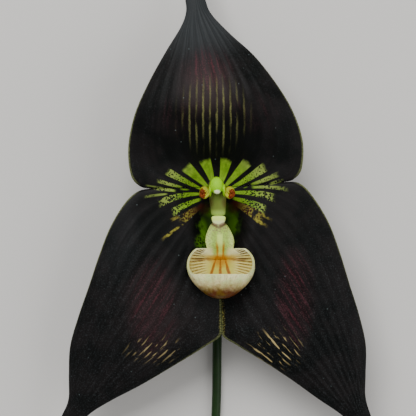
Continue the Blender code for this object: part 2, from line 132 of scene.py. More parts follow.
# Lip
CALLUS_SIZE = (1.5, 1.05, 0.85)
CALLUS_AT = (0.3, -6.55, 2.75)
BASE_STATIONS = (-6.6, -7.2, -8.4, -9.6, -10.7, -11.5, -12.1, -12.6, -13.1, -13.7, -14.3)
BASE_HALF_WIDTHS = (1.3, 1.95, 2.4, 2.75, 2.9, 2.8, 2.8, 3.5, 4.5, 4.6, 3.6)
BASE_HALF_DEPTH = 1.05
BASE_HEIGHTS = (2.2, 2.75)
BASE_RIDGE = 0.35
BASE_RIDGE_HALF_WIDTH = 0.7
BASE_OVER_WALL = (0.2, 0.4)
POUCH_AT = (0.76, -16.0, 5.0)
POUCH_HALF_SIZE = (6.75, 6.0, 3.5)
POUCH_WALL = 0.44
POUCH_SEGMENTS = 208
POUCH_RINGS = 104
POUCH_FRONT_RIM = -1.1
POUCH_EAR_RISE = 5.1
POUCH_TURNS = (0, 10, 20, 29, 45, 60, 75, 90)  # degrees up from the pouch's point
POUCH_GIRTHS = (0, 0.16, 0.29, 0.41, 0.61, 0.8, 0.94, 1)
POUCH_RIM_BEVEL = 0.08
POUCH_CLOSE = 0.7
POUCH_LUMPS = 0.012
KEEL_ROOT = (0.77, -13.95)
KEEL_SPACING = 0.66
KEEL_HEIGHT = 0.075
KEELS_FROM = (2.4, 4.2)  # distances from the root between which the keels rise
KEELS_MEET = (-5.0, 0.6)  # how far out the low and the high keels' lines would meet
KEELS_TURN = 0.8  # height over the root where the low keels have become high ones
EAR_SPAN = 6.0
INSIDE_SLOT = 1  # places of these two in the pouch's list of materials
RIM_SLOT = 2

# Stalk behind the bloom
TUBE_SIDES = 48
OVARY_PATH = [(0.0, 0.1, -1.6), (0.0, -0.7, -4.3), (0.0, -2.4, -7.0), (0.0, -5.6, -8.8),
              (0.0, -9.5, -9.7), (0.05, -14.5, -10.0), (0.1, -23.6, -9.9)]
OVARY_RADII = (1.85, 1.75, 1.65, 1.4, 0.9, 0.74, 0.72)
OVARY_RIBS = 6
OVARY_RIB_SHARE = 0.09
STEM_PATH = [(0.1, -24.0, -9.9), (0.05, -32.0, -10.0), (-0.2, -46.0, -10.8),
             (-1.6, -66.0, -11.1), (-4.5, -88.0, -11.1)]
BRACT_PATH = [(0.08, -28.6, -9.93), (0.1, -25.2, -9.9), (0.1, -21.4, -9.92), (0.1, -17.4, -9.94)]
BRACT_RADII = (2.0, 2.05, 2.0, 1.75)
BRACT_WALL = 0.5

# Stage. The floor's half size and the lights' places and sizes are metres, their powers watts
SENSOR_WIDTH = 36.0
PICTURE_WIDTH = 83.2
PICTURE_MIDDLE = (-1.8, -4.0)
FLOOR_HALF_SIZE = 2.0
KEY_LIGHT = ((-0.18, 0.42, 0.62), 5.0, 0.5)
FILL_LIGHT = ((0.5, -0.1, 0.5), 1.6, 0.6)
SKY_STRENGTH = 0.35

# Wedges fanned out from a point just below the column's head. Each has its turn from the upper
# sepal's middle in degrees, its half width in degrees, where it starts and ends in millimetres,
# how far it has turned by its end, and how spotted its outer part is
WEDGE_ROOT = (-0.1, -1.6)
GREEN_WEDGES = [
    (-15, 9.2, 2.2, 7.9, -3.4, 0), (19, 9.2, 2.2, 7.9, -4.4, 0),
    (-45, 8.0, 2.2, 8.8, -1.5, 0), (41.5, 6.8, 2.2, 9.4, 1, 0),
    (-65.5, 4.3, 2.6, 11.2, 2, 0.7), (62.5, 5.0, 2.6, 11.5, -3.5, 0.6),
    (-76.3, 2.0, 6.8, 12.4, 0.7, 0.7), (72.3, 2.4, 7.0, 13.4, -1.8, 0.6),
    (-77, 1.4, 5.4, 7.5, -3, 0), (73.6, 1.2, 5.4, 6.6, 0, 0),
    (-83, 1.9, 8.0, 12.8, 0.5, 0.8), (77.4, 1.5, 10.6, 13.9, -1, 0.9),
    (-81.5, 0.8, 12.0, 14.6, 0, 0.5), (76.2, 1.9, 7.0, 14.6, 9, 0.8),
    (-87.6, 1.2, 9.6, 14.6, -3.4, 0.7), (79, 4.5, 3.0, 11.8, 13.5, 1),
    (-82.5, 4.4, 3.0, 11.8, -15.5, 1), (97.5, 5.2, 3.0, 10.4, 8.5, 1),
    (-101, 5.2, 3.0, 9.6, -10, 1),
]
RUSTY_WEDGES = [
    (-122, 7.0, 3.0, 9.4, -3, 1), (110, 7.0, 3.0, 11.0, 8, 1),
    (-129.3, 1.5, 8.4, 14.4, 0.5, 0.5), (121, 1.8, 8.4, 12.2, 0, 0.4),
    (-118, 2.2, 8.4, 11.0, 0, 0.6), (112, 1.6, 9.6, 12.4, 2, 0.6),
]


def linear(red, green, blue):
    """A colour given as 8-bit screen values, as linear values."""
    return tuple(((c / 255 + 0.055) / 1.055) ** 2.4 if c > 10 else c / 255 / 12.92
                 for c in (red, green, blue))


# Colours of single marks and shades, as 8-bit screen values
SEPAL_HAZE = linear(120, 96, 96)
DASH_CREAM = linear(184, 164, 112)
SEAM_OLIVE = linear(150, 140, 60)
LINE_OLIVE = linear(138, 138, 78)
PIT_GREEN = linear(92, 142, 14)
PIT_BROWN_SHADE = linear(58, 32, 16)
WEDGE_FIBRE = linear(66, 98, 10)
WEDGE_PALE = linear(154, 166, 84)
WEDGE_RUST = linear(66, 24, 12)
WEDGE_OLIVE = linear(146, 140, 52)
SPECK_GREY = linear(120, 136, 136)
HEM_HIGHLIGHT_OLIVE = linear(126, 132, 84)
BACK_BROWN = linear(40, 28, 26)
BACK_PURPLE = linear(34, 20, 20)
INSIDE_YELLOW = linear(206, 198, 84)
INSIDE_FLOOR = linear(206, 200, 74)
INSIDE_GLOW = linear(206, 150, 26)
EAR_PALE = linear(214, 208, 164)
KEEL_TAN = linear(150, 104, 46)
KEEL_DARK = linear(72, 46, 20)
FOLD_SHADE_BROWN = linear(112, 70, 24)
STREAK_DARK = linear(136, 72, 6)
POUCH_GREENISH = linear(226, 240, 168)
POUCH_FLECK = linear(168, 150, 104)
POUCH_WARM = linear(176, 128, 70)
POUCH_RUST = linear(98, 50, 14)
POUCH_OLIVE = linear(108, 80, 16)
POUCH_DARK = linear(70, 36, 12)
RIM_EAR = linear(186, 188, 116)
BASE_SAGE = linear(176, 208, 92)
BASE_EDGE = linear(214, 234, 136)
BASE_STIPPLE = linear(140, 148, 80)
BASE_MAUVE = linear(150, 116, 104)
BASE_CREASE_SHADE = linear(96, 60, 54)
BASE_SHOULDER = linear(236, 228, 164)
CALLUS_PALE = linear(232, 244, 172)
CALLUS_EDGE_SHADE = linear(140, 96, 90)
FOOT_PALE = linear(160, 188, 88)
FOOT_SIDE_SHADE = linear(96, 74, 30)
WING_YELLOW = linear(176, 186, 52)
PETAL_STALK_GREEN = linear(130, 150, 40)
PETAL_RING = linear(182, 186, 60)
WART_ORANGE = linear(186, 110, 30)
STALK_LIGHT = linear(30, 60, 18)
STALK_FRECKLE = linear(60, 34, 30)
BRACT_GREEN = linear(104, 112, 58)
BRACT_LINE = linear(70, 66, 34)


def colour_property(name, description, red, green, blue):
    return bpy.props.FloatVectorProperty(name=name, description=description, subtype="COLOR",
                                         min=0, max=1, default=linear(red, green, blue))


def length_property(name, description, millimetres):
    return bpy.props.FloatProperty(name=name, description=description, subtype="DISTANCE",
                                   unit="LENGTH", min=0, precision=5, default=millimetres * MM)


class OrchidSizes(bpy.types.PropertyGroup):
    """Sizes that a user would change."""

    blade_thickness: length_property("Blade thickness", "Thickness of a sepal's middle", 0.8)
    edge_thickness: length_property("Edge thickness", "Thickness of a sepal's margin", 0.42)
    vein_height: length_property("Vein height", "Height of the veins on the sepals", 0.08)
    wart_height: length_property("Wart height", "Height of the warts on the petals' tips", 0.14)
    stem_radius: length_property("Stem radius", "Radius of the cut stem", 0.92)
    camera_height: length_property("Camera height", "Height of the camera over the floor", 620)


class OrchidColours(bpy.types.PropertyGroup):
    """Colours that a user would change."""

    sepal_dark: colour_property("Sepal dark", "Darkest colour of the sepals", 3, 5, 4)
    sepal_brown: colour_property("Sepal brown", "Purple brown cast of the sepals", 20, 17, 17)
    sepal_bloom: colour_property("Sepal bloom", "Pale velvet on the sepals", 58, 62, 64)
    wine: colour_property("Wine", "Wine streaks on the sepals", 86, 36, 46)
    green: colour_property("Green", "Wedges round the column", 92, 132, 12)
    green_bright: colour_property("Bright green", "Lightest part of the wedges", 132, 172, 34)
    sepal_back: colour_property("Sepal back", "Back of the sepals", 44, 40, 26)
    lip_cream: colour_property("Lip cream", "Inside of the pouch", 226, 214, 132)
    lip_pale: colour_property("Lip pale", "Outside of the pouch", 255, 252, 190)
    lip_blush: colour_property("Lip blush", "Lines on the outside of the pouch", 204, 184, 134)
    lip_orange: colour_property("Lip orange", "Streaks in the middle of the pouch", 190, 118, 0)
    lip_white: colour_property("Lip white", "Callus and base of the lip", 226, 250, 128)
    column_green: colour_property("Column green", "Head of the column", 158, 222, 0)
    foot_green: colour_property("Foot green", "Foot of the column", 122, 138, 58)
    cap_cream: colour_property("Cap cream", "Anther cap", 232, 240, 190)
    petal_yellow: colour_property("Petal yellow", "Rims of the petals", 186, 184, 44)
    petal_brown: colour_property("Petal brown", "Warty tips of the petals", 122, 52, 14)
    stem_green: colour_property("Stem green", "Stem and ovary", 12, 38, 10)
    bract_tan: colour_property("Bract tan", "Papery bract", 150, 140, 86)
    floor: colour_property("Floor", "Plain floor under the bloom", 226, 224, 220)


def sizes():
    return bpy.context.scene.orchid_sizes


def colours():
    return bpy.context.scene.orchid_colours


def smooth(value, start, end):
    """0 before start, 1 after end, and an even ease between them."""
    share = np.clip((np.asarray(value, float) - start) / (end - start), 0, 1)
    return share * share * (3 - 2 * share)


def curve_through(points, steps=40):
    """A smooth curve through the points, as a function from shares of its length to places."""
    knots = np.array(points, float)
    slopes = np.gradient(knots, axis=0)
    t = np.linspace(0, 1, steps, endpoint=False)[:, None]
    spans = [
        (2 * t**3 - 3 * t**2 + 1) * knots[i]
        + (t**3 - 2 * t**2 + t) * slopes[i]
        + (3 * t**2 - 2 * t**3) * knots[i + 1]
        + (t**3 - t**2) * slopes[i + 1]
        for i in range(len(knots) - 1)
    ]
    dense = np.vstack([*spans, knots[-1:]])
    lengths = np.concatenate([[0], np.cumsum(np.linalg.norm(np.diff(dense, axis=0), axis=1))])

    def at(share, start=0.0):
        distance = start + np.asarray(share, float) * (lengths[-1] - start)
        return np.stack([np.interp(distance, lengths, axis) for axis in dense.T], axis=-1)

    return at


# Paint: materials written as expressions


class Tone:
    """A number or a colour over a surface. Sums on it add Math nodes to its paint."""

    def __init__(self, paint, socket):
        self.paint = paint
        self.socket = socket

    def math(self, operation, *values):
        return self.paint.node("ShaderNodeMath", {"operation": operation},
                               dict(enumerate(values)))

    def __add__(self, other):
        return self.math("ADD", self, other)

    __radd__ = __add__

    def __sub__(self, other):
        return self.math("SUBTRACT", self, other)

    def __rsub__(self, other):
        return self.math("SUBTRACT", other, self)

    def __mul__(self, other):
        return self.math("MULTIPLY", self, other)

    __rmul__ = __mul__

    def __truediv__(self, other):
        return self.math("DIVIDE", self, other)

    def __pow__(self, other):
        return self.math("POWER", self, other)

    def __abs__(self):
        return self.math("ABSOLUTE", self)

    def cosine(self):
        return self.math("COSINE", self)

    def up_to(self, other):
        return self.math("MINIMUM", self, other)

    def at_least(self, other):
        return self.math("MAXIMUM", self, other)


class Paint:
    """One material. Its places are millimetres from the middle of the bloom."""

    def __init__(self, name, roughness=0.5):
        self.material = bpy.data.materials.new(name)
        self.material.use_nodes = True
        self.tree = self.material.node_tree
        self.shader = self.tree.nodes["Principled BSDF"]
        self.shader.inputs["Roughness"].default_value = roughness
        self.place = self.node("ShaderNodeVectorMath", {"operation": "MULTIPLY_ADD"}, {
            0: self.node("ShaderNodeTexCoord", output="Object"),
            1: (1 / MM,) * 3,
            2: tuple(-BLOOM_AT)})
        self.x, self.y, self.z = self.parts(self.place)

    def node(self, kind, settings=None, values=None, output=0):
        """Adds any node: its settings first, then its sockets' values or links."""
        node = self.tree.nodes.new(kind)
        for key, value in (settings or {}).items():
            setattr(node, key, value)
        for key, value in (values or {}).items():
            self.feed(node.inputs[key], value)
        return Tone(self, node.outputs[output])

    def feed(self, socket, value):
        if isinstance(value, Tone):
            self.tree.links.new(value.socket, socket)
        else:
            socket.default_value = value

    def parts(self, vector):
        separate = self.node("ShaderNodeSeparateXYZ", values={0: vector}).socket.node
        return [Tone(self, output) for output in separate.outputs]

    def blade(self):
        """Places across a sepal from -1 to 1 and along it from 0 to 1."""
        share, along, _ = self.parts(self.node("ShaderNodeUVMap", {"uv_map": "blade"}))
        return share * 2 - 1, along

    def attribute(self, name):
        return self.node("ShaderNodeAttribute", {"attribute_name": name}, output="Fac")

    def step(self, value, start, end):
        """0 before start and 1 after end, with a soft edge."""
        return self.node("ShaderNodeMapRange", {"interpolation_type": "SMOOTHSTEP"},
                         {0: value, 1: start, 2: end})

    def noise(self, per_mm, detail=2.0, vector=None, stretch=(1, 1, 1)):
        source = self.node("ShaderNodeVectorMath", {"operation": "MULTIPLY"},
                           {0: vector or self.place, 1: stretch})
        return self.node("ShaderNodeTexNoise", values={
            "Vector": source, "Scale": per_mm, "Detail": detail, "Roughness": 0.55})

    def vector(self, x, y, z=0.0):
        return self.node("ShaderNodeCombineXYZ", values={0: x, 1: y, 2: z})

    def dots(self, per_mm, vector=None):
        """Distance to the nearest of many scattered points."""
        return self.node("ShaderNodeTexVoronoi", values={
            "Vector": vector or self.place, "Scale": per_mm})

    def turn_about(self, x, y):
        """Turn about a point in the plan, from the upper sepal's side, positive to the right."""
        return self.x.math("ARCTAN2", self.x - x, self.y - y)

    def reach(self, x, y, half_x=1.0, half_y=1.0):
        """Distance from a point in the plan, in half sizes."""
        across = (self.x - x) / half_x
        up = (self.y - y) / half_y
        return (across * across + up * up) ** 0.5

    def patch(self, x, y, half_x, half_y):
        """1 at a point in the plan, fading to 0 at the half sizes."""
        return self.step(self.reach(x, y, half_x, half_y), 1.0, 0.25)

    def mix(self, share, below, above, blend="MIX"):
        """Colour below, covered by colour above as far as share says."""
        below, above = ((*c, 1) if isinstance(c, tuple) and len(c) == 3 else c
                        for c in (below, above))
        return self.node("ShaderNodeMix", {"data_type": "RGBA", "blend_type": blend},
                         {0: share, 6: below, 7: above}, output=2)

    def finish(self, colour, bump=None, bump_mm=0.05, roughness=None):
        """Links the finished colour, and the height of the fine relief if there is one."""
        self.feed(self.shader.inputs["Base Color"], colour)
        if roughness is not None:
            self.feed(self.shader.inputs["Roughness"], roughness)
        if bump is not None:
            relief = self.node("ShaderNodeBump", values={
                "Strength": 1.0, "Distance": bump_mm * MM, "Height": bump})
            self.feed(self.shader.inputs["Normal"], relief)
        return self.material


def rgb(colour):
    """A colour property as a plain tuple."""
    return tuple(colour)


def fan(paint, wedges, blotch, soften):
    """The wedges as two masks, one plain and one less the black spots on their outer parts."""
    turn, radius = paint.turn_about(*WEDGE_ROOT), paint.reach(*WEDGE_ROOT)
    spot = paint.dots(1.0, paint.vector(turn * 27, radius * 2.9))
    wander = (blotch - 0.5) * 0.9
    plain, spotted = 0, 0
    for degrees, half, start, end, swing, spots in wedges:
        middle = math.radians(degrees) + (radius - start) * (math.radians(swing) / (end - start))
        inside = math.radians(half) - abs(turn - middle)
        wedge = paint.step(inside * radius + wander * 0.2, -0.05, 0.11)
        wedge = wedge * paint.step(radius + wander, end, end - soften)
        wedge = wedge * paint.step(radius, start, start + 0.8)
        plain = wedge + plain
        outer = paint.step(radius + wander, start, start + (end - start) * 0.5)
        spotted = wedge * paint.step(spot - outer * (0.5 * spots), -0.06, 0.08) + spotted
    return plain.up_to(1), spotted.up_to(1)


def sepal_ground(paint, across, along, grain, blotch):
    """The sepals' near-black velvet with wine streaks, paler outwards, with painted highlights at
    the upper tip and on the left sepal's upper side, and painted shade over the column.
    """
    c = colours()
    cloud = paint.noise(0.22, 3)
    streak = paint.noise(1.0, 3, paint.vector(across * 22, along * 7))
    vein = (across * (math.pi * VEINS_ACROSS) + (blotch - 0.5) * 0.9).cosine()
    fine_vein = (across * (math.pi * VEINS_ACROSS * 2.5) + (blotch - 0.5) * 3).cosine()
    ground = paint.mix(paint.step(cloud, 0.36, 0.62), rgb(c.sepal_dark), rgb(c.sepal_brown))
    speck = paint.step(grain, 0.5, 0.7)
    # The velvet specks grow paler outwards, so the middle stays darker: painted shade round the
    # column and lip. The streaks among the specks are the sepals' own.
    velvet_and_middle_shade = paint.step(paint.reach(0, 2), 10, 32) * 0.4 + paint.step(streak, 0.42, 0.75) * 0.25
    ground = paint.mix(velvet_and_middle_shade * speck, ground, rgb(c.sepal_bloom))
    # Painted highlight: paler velvet at the upper tip and on the left sepal's upper side, where the
    # light catches them.
    tip = paint.patch(-3.5, 35, 12, 14) * (0.25 + streak * 0.9) + paint.patch(-19, -8, 5, 12) * 0.15
    ground = paint.mix(tip.up_to(1), ground, rgb(c.sepal_bloom))
    ground = paint.mix(paint.step(vein, 0.5, 1) * 0.3, ground, rgb(c.sepal_dark))
    ground = paint.mix(paint.step(fine_vein, 0.4, 1) * 0.25, ground, rgb(c.sepal_dark))
    wine = (paint.patch(-2, 23.5, 6, 6) + paint.patch(-13, -24, 6, 12)
            + paint.patch(15.5, -22, 5, 12) + paint.patch(7, 15, 7, 6) * 0.2
            + paint.patch(-7, 15, 7, 7) * 0.2)
    wine_streak = paint.step(streak * 0.6 + grain * 0.4, 0.48, 0.62)
    ground = paint.mix((wine * (0.06 + wine_streak * 0.6)).up_to(1), ground, rgb(c.wine))
    haze = paint.patch(-2, 20, 8, 8) * 0.12 + paint.patch(-12, -25, 10, 12) * 0.04
    ground = paint.mix(haze, ground, SEPAL_HAZE)
    # Painted shade: the dark patch over the column is the hood's pocket, which faces away from the
    # light.
    return paint.mix(paint.patch(0, 9.0, 14, 8) * 0.9, ground, rgb(c.sepal_dark))


def sepal_face_material():
    """Near-black velvet with green wedges round the column, and fine veins along the blade."""
    c = colours()
    paint = Paint("sepal_face", 0.5)
    across, along = paint.blade()
    blotch = paint.noise(0.9, 3)
    grain = paint.noise(4.2, 2)
    ground = sepal_ground(paint, across, along, grain, blotch)

    dashes = paint.step(paint.noise(1.0, 1, paint.vector(across * 26, along * 30)), 0.49, 0.57)
    rows = paint.step((across * (math.pi * 24) + (blotch - 0.5)).cosine(), 0.35, 0.85)
    low = paint.patch(-12.4, -32.2, 7.5, 3.6) * 0.6 + paint.patch(11.6, -32.2, 7, 5) * 1.2
    ground = paint.mix((low * dashes * rows).up_to(1) * 0.9, ground, DASH_CREAM)
    seam = paint.patch(1.0, -27, 0.8, 6) * paint.step(grain, 0.5, 0.6)
    ground = paint.mix(seam * 0.8, ground, SEAM_OLIVE)

    bow = (paint.y - 14) * (paint.y - 14) * 0.0012
    lane = (paint.x + 1.4) * (1 + bow) + (blotch - 0.5) * 0.32
    lines = paint.step((lane * (2 * math.pi / LANE_SPACING)).cosine(), 0.35, 1)
    broken = paint.step(paint.noise(1.0, 2, paint.vector(lane * 0.7, paint.y * 0.16)), 0.34, 0.6)
    fine = 0.6 + 0.4 * paint.step(grain, 0.4, 0.6)
    rise = paint.step(paint.reach(-0.8, 14.5, 8.6, 9), 1.0, 0.4)
    ground = paint.mix(lines * broken * rise * fine * 0.62, ground, LINE_OLIVE)
    roots = paint.step((paint.x + 0.35 + (blotch - 0.5) * 0.4).math("PINGPONG", 1.0), 0.9, 0.96)
    roots = roots * paint.step(abs(paint.x + 0.3), 1.6, 1.4) * paint.patch(-0.3, 7.5, 4, 6)
    ground = paint.mix(roots * 0.75, ground, rgb(c.green))

    pit = paint.step(paint.reach(0.5, -7.2, 4.0, 4.9) + (blotch - 0.5) * 0.9, 1.15, 0.75)
    lit = paint.patch(-3.2, -8.4, 1.6, 3.2) + paint.patch(0.5, -4.4, 4.2, 2.2)
    lit = lit * 0.8 + paint.patch(3.2, -7, 1.6, 3) * 0.4 + 0.14
    net = paint.step(paint.dots(2.0), 0.3, 0.5) * paint.patch(-3.0, -10.8, 1.8, 2.2)
    colour = paint.mix((pit * lit + net * 0.6).up_to(1), ground, PIT_GREEN)
    # The brown beside the column's foot is partly the sepals' own brown and partly painted shade in
    # the hollow beside the foot.
    brown = paint.patch(-2.4, -4.2, 1.7, 1.6) + paint.patch(3.0, -4.0, 1.9, 1.7)
    colour = paint.mix(brown.up_to(1) * 0.8, colour, PIT_BROWN_SHADE)
    reach = paint.reach(*WEDGE_ROOT)
    fresh = paint.mix(paint.step(reach, 2, 7) * paint.step(blotch, 0.3, 0.7),
                      rgb(c.green_bright), rgb(c.green))
    fibre = paint.noise(1.0, 2, paint.vector(paint.turn_about(*WEDGE_ROOT) * 16, reach * 0.4))
    fresh = paint.mix(paint.step(fibre, 0.35, 0.65) * 0.35, fresh, WEDGE_FIBRE)
    fresh = paint.mix(paint.step(reach, 6, 10.5) * 0.65, fresh, WEDGE_PALE)
    plain, spotted = fan(paint, RUSTY_WEDGES, blotch, 2.2)
    patchy = paint.step(blotch + paint.step(reach, 8, 5) * 0.2, 0.4, 0.6)
    colour = paint.mix(plain * patchy * 0.6, colour, WEDGE_RUST)
    outer = paint.step(reach, 4.0, 8.5) * 0.9
    colour = paint.mix(spotted * patchy * outer, colour, WEDGE_OLIVE)
    fading = 1 - paint.step(reach, 8.5, 14.5) * 0.65
    colour = paint.mix(fan(paint, GREEN_WEDGES, blotch, 0.9)[1] * fading, colour, fresh)
    colour = paint.mix(paint.step(paint.dots(0.4), 0.06, 0.03) * 0.4, colour, SPECK_GREY)
    # The pale hem on the outer margins is partly the margins' pale fringe and partly a painted
    # highlight where the rolled edge catches the light.
    hem_and_highlight = paint.step(abs(across), 0.982, 0.993) * paint.step(paint.reach(0, 0), 15, 17)
    hem_and_highlight = hem_and_highlight * paint.step(along, 0.62, 0.3) * (0.35 + paint.step(grain, 0.42, 0.58) * 0.5)
    colour = paint.mix(hem_and_highlight, colour, HEM_HIGHLIGHT_OLIVE)
    paint.shader.inputs["Sheen Weight"].default_value = 0.02
    paint.shader.inputs["Sheen Roughness"].default_value = 0.4
    paint.shader.inputs["Specular IOR Level"].default_value = 0.12
    return paint.finish(colour, grain, 0.04)


def sepal_back_material():
    """The sepals' duller back, with dark veins."""
    c = colours()
    paint = Paint("sepal_back", 0.6)
    across, along = paint.blade()
    blotch = paint.noise(0.6, 3)
    vein = (across * (math.pi * VEINS_ACROSS) + (blotch - 0.5) * 1.5).cosine()
    colour = paint.mix(paint.step(blotch, 0.35, 0.7), rgb(c.sepal_back), BACK_BROWN)
    colour = paint.mix(paint.step(along, 0.1, 0.75), colour, BACK_PURPLE)
    colour = paint.mix(paint.step(vein, 0.4, 1) * 0.7, colour, rgb(c.sepal_dark))
    return paint.finish(colour, vein + paint.noise(4, 2), 0.06)


def keel_phase(away, up, high):
    """How far round the keels' wave a point is, for its distances from the keels' root across the
    bloom and up it. The high ones fan out and the low ones are almost level."""
    meet = KEELS_MEET[0] + (KEELS_MEET[1] - KEELS_MEET[0]) * high
    return up * (EAR_SPAN - meet) / (away - meet) * (2 * math.pi / KEEL_SPACING)


def streaks(paint, blotch):
    """1 on the orange streaks that run from the lip's base into its pouch: two above, which meet
    at the base's end, and three below it, which spread again."""
    away = abs(paint.x - KEEL_ROOT[0] + 0.12 + (blotch - 0.5) * 0.35)
    above = paint.step(abs(away - 0.5 - (paint.y + 14) * 0.06), 0.36, 0.08)
    above = above * paint.step(paint.y, -10.2, -12.0) * paint.step(paint.y, -14.6, -13.8)
    lane = away / (0.75 + (paint.y + 13.6) * -0.3)
    below = paint.step((lane * (2 * math.pi)).cosine(), -0.2, 0.9) * paint.step(lane, 1.45, 1.15)
    below = below * paint.step(paint.y, -13.0, -14.0)
    middle = paint.patch(0.7, -14.3, 2.4, 2.0) * 0.7
    # Painted shade: the orange band along the fold where the lip's base steps down into the bowl.
    fold_shade = paint.patch(0.8, -14.1, 5.6, 1.2) * 0.35
    return above.at_least(below).at_least(middle).at_least(fold_shade)


def inside_colour(paint, blotch):
    """Cream inside of the pouch: fine brown keels in its ears, orange streaks, yellow floor."""
    c = colours()
    away, up = abs(paint.x - KEEL_ROOT[0]), paint.y - KEEL_ROOT[1]
    high = paint.step(up, -KEELS_TURN, KEELS_TURN)
    ear = paint.step(away + (blotch - 0.5) * 1.6, *KEELS_FROM)
    rib = (keel_phase(away, up, high) + (blotch - 0.5) * 2).cosine() * ear
    colour = paint.mix(paint.step(away, 1.0, 3.6), INSIDE_YELLOW, rgb(c.lip_cream))
    colour = paint.mix(paint.patch(0.77, -16.6, 4.6, 2.6) * 0.6, colour, INSIDE_FLOOR)
    colour = paint.mix(paint.step(up, 0.2, 1.2) * 0.7, colour, EAR_PALE)
    dark = paint.step(up, -2.2, 0.2) * (0.4 + paint.step(away, 6.2, 3.4) * 0.6)
    tan = paint.mix(dark, KEEL_TAN, KEEL_DARK)
    brown = paint.step(rib, 0.1, 0.9) * (0.55 + dark * 0.5 + (blotch - 0.5) * 1.6)
    colour = paint.mix(brown.at_least(0).up_to(1), colour, tan)
    # Painted shade: a brown line along the fold where the lip's base steps down into the bowl.
    fold_shade = paint.step(abs(up + 0.3 + (blotch - 0.5) * 0.6), 0.34, 0.06)
    fold_shade = fold_shade * paint.step(away, 1.2, 2.6) * paint.step(away, 6.2, 4.6)
    colour = paint.mix(fold_shade * 0.75, colour, FOLD_SHADE_BROWN)
    colour = paint.mix(paint.patch(0.7, -14.3, 2.9, 2.0) * 0.5, colour, INSIDE_GLOW)
    orange = streaks(paint, blotch)
    colour = paint.mix(orange * 0.88, colour, rgb(c.lip_orange))
    deep = paint.step(orange * (0.6 + blotch), 0.85, 1.1) * 0.55
    return paint.mix(deep, colour, STREAK_DARK), rib


def pouch_outside_material():
    """Smooth whitish cream skin with faint pinkish lines, brown towards the bottom."""
    c = colours()
    paint = Paint("pouch_outside", 0.38)
    cloud = paint.noise(0.5, 3)
    blotch = paint.noise(1.4, 3)
    side = (paint.x - POUCH_AT[0]) / (1 + (paint.y + 17) * 0.12)
    line = paint.noise(1.0, 3, paint.vector(side * 1.7, paint.y * 0.3))
    colour = paint.mix(paint.step(cloud, 0.35, 0.65), rgb(c.lip_pale), POUCH_GREENISH)
    colour = paint.mix(paint.step(line, 0.48, 0.62) * 0.45, colour, rgb(c.lip_blush))
    colour = paint.mix(paint.step(paint.noise(3.0, 2), 0.5, 0.65) * 0.25, colour, POUCH_FLECK)
    edge = paint.step(paint.reach(0.76, -16.3, 6.9, 5.8) + (blotch - 0.5) * 0.3, 0.78, 1.0)
    edge = edge * paint.step(paint.y, -16.6, -18.6)
    depth = paint.y + (blotch - 0.5) * 1.8 + (line - 0.5) * 0.8
    warm = paint.step(depth, -17.6, -20.0).at_least(edge)
    colour = paint.mix(warm * 0.6, colour, POUCH_WARM)
    rust = paint.mix(paint.step(cloud, 0.42, 0.58), POUCH_RUST, POUCH_OLIVE)
    rust = paint.mix(paint.step(blotch, 0.45, 0.6) * 0.5, rust, POUCH_DARK)
    colour = paint.mix(paint.step(depth, -18.8, -20.9).at_least(edge * 0.5), colour, rust)
    return pearly(paint).finish(colour, cloud, 0.08)


def pearly(paint):
    """Lets a little light into the skin, and keeps its shine low."""
    paint.shader.inputs["Specular IOR Level"].default_value = 0.2
    paint.shader.inputs["Subsurface Weight"].default_value = 0.2
    paint.shader.inputs["Subsurface Radius"].default_value = (0.001, 0.0008, 0.0004)
    return paint


def pouch_inside_material():
    paint = Paint("pouch_inside", 0.4)
    colour, rib = inside_colour(paint, paint.noise(1.2, 3))
    return pearly(paint).finish(colour, rib, 0.06)


def pouch_rim_material():
    c = colours()
    paint = Paint("pouch_rim", 0.38)
    ear = paint.step(abs(paint.x - POUCH_AT[0]), 4.6, 5.8)
    colour = paint.mix(ear * 0.85, rgb(c.lip_pale), RIM_EAR)
    return pearly(paint).finish(colour)


def lip_base_material():
    """Sage base with a pale ridge and whitish edges, and painted mauve shade in the crease below
    the callus.
    """
    c = colours()
    paint = Paint("lip_base", 0.36)
    blotch = paint.noise(1.2, 3)
    stipple = paint.noise(3.2, 2)
    side = abs(paint.x - 0.55)
    sage = paint.mix(paint.step(side + (blotch - 0.5), 1.2, 2.6), BASE_SAGE, BASE_EDGE)
    colour = paint.mix(paint.step(stipple, 0.44, 0.62) * 0.5, sage, BASE_STIPPLE)
    ridge = paint.step(side, 0.75, 0.4) * paint.step(paint.y, -8.6, -9.6)
    colour = paint.mix(ridge * 0.8, colour, rgb(c.lip_white))
    mauve = paint.patch(0.4, -8.0, 2.6, 1.5) * paint.step(stipple, 0.4, 0.6)
    colour = paint.mix(mauve * 0.7, colour, BASE_MAUVE)
    # Painted shade: the mauve V below the callus, where the callus overhangs the base.
    crease = paint.step(abs(paint.y + 7.85 - abs(paint.x - 0.35) * 0.5), 0.5, 0.1)
    colour = paint.mix(crease * 0.8, colour, BASE_CREASE_SHADE)
    shoulder = paint.step(paint.y + (blotch - 0.5), -11.4, -12.6) * paint.step(side, 0.8, 2.0)
    colour = paint.mix(shoulder * 0.9, colour, BASE_SHOULDER)
    low = paint.step(paint.y + (blotch - 0.5) * 0.6 - paint.step(side, 1.6, 3.4), -13.0, -13.9)
    inside, _ = inside_colour(paint, blotch)
    colour = paint.mix(low, colour, inside)
    colour = paint.mix(streaks(paint, blotch) * 0.85, colour, rgb(c.lip_orange))
    return pearly(paint).finish(colour, stipple + blotch, 0.05)


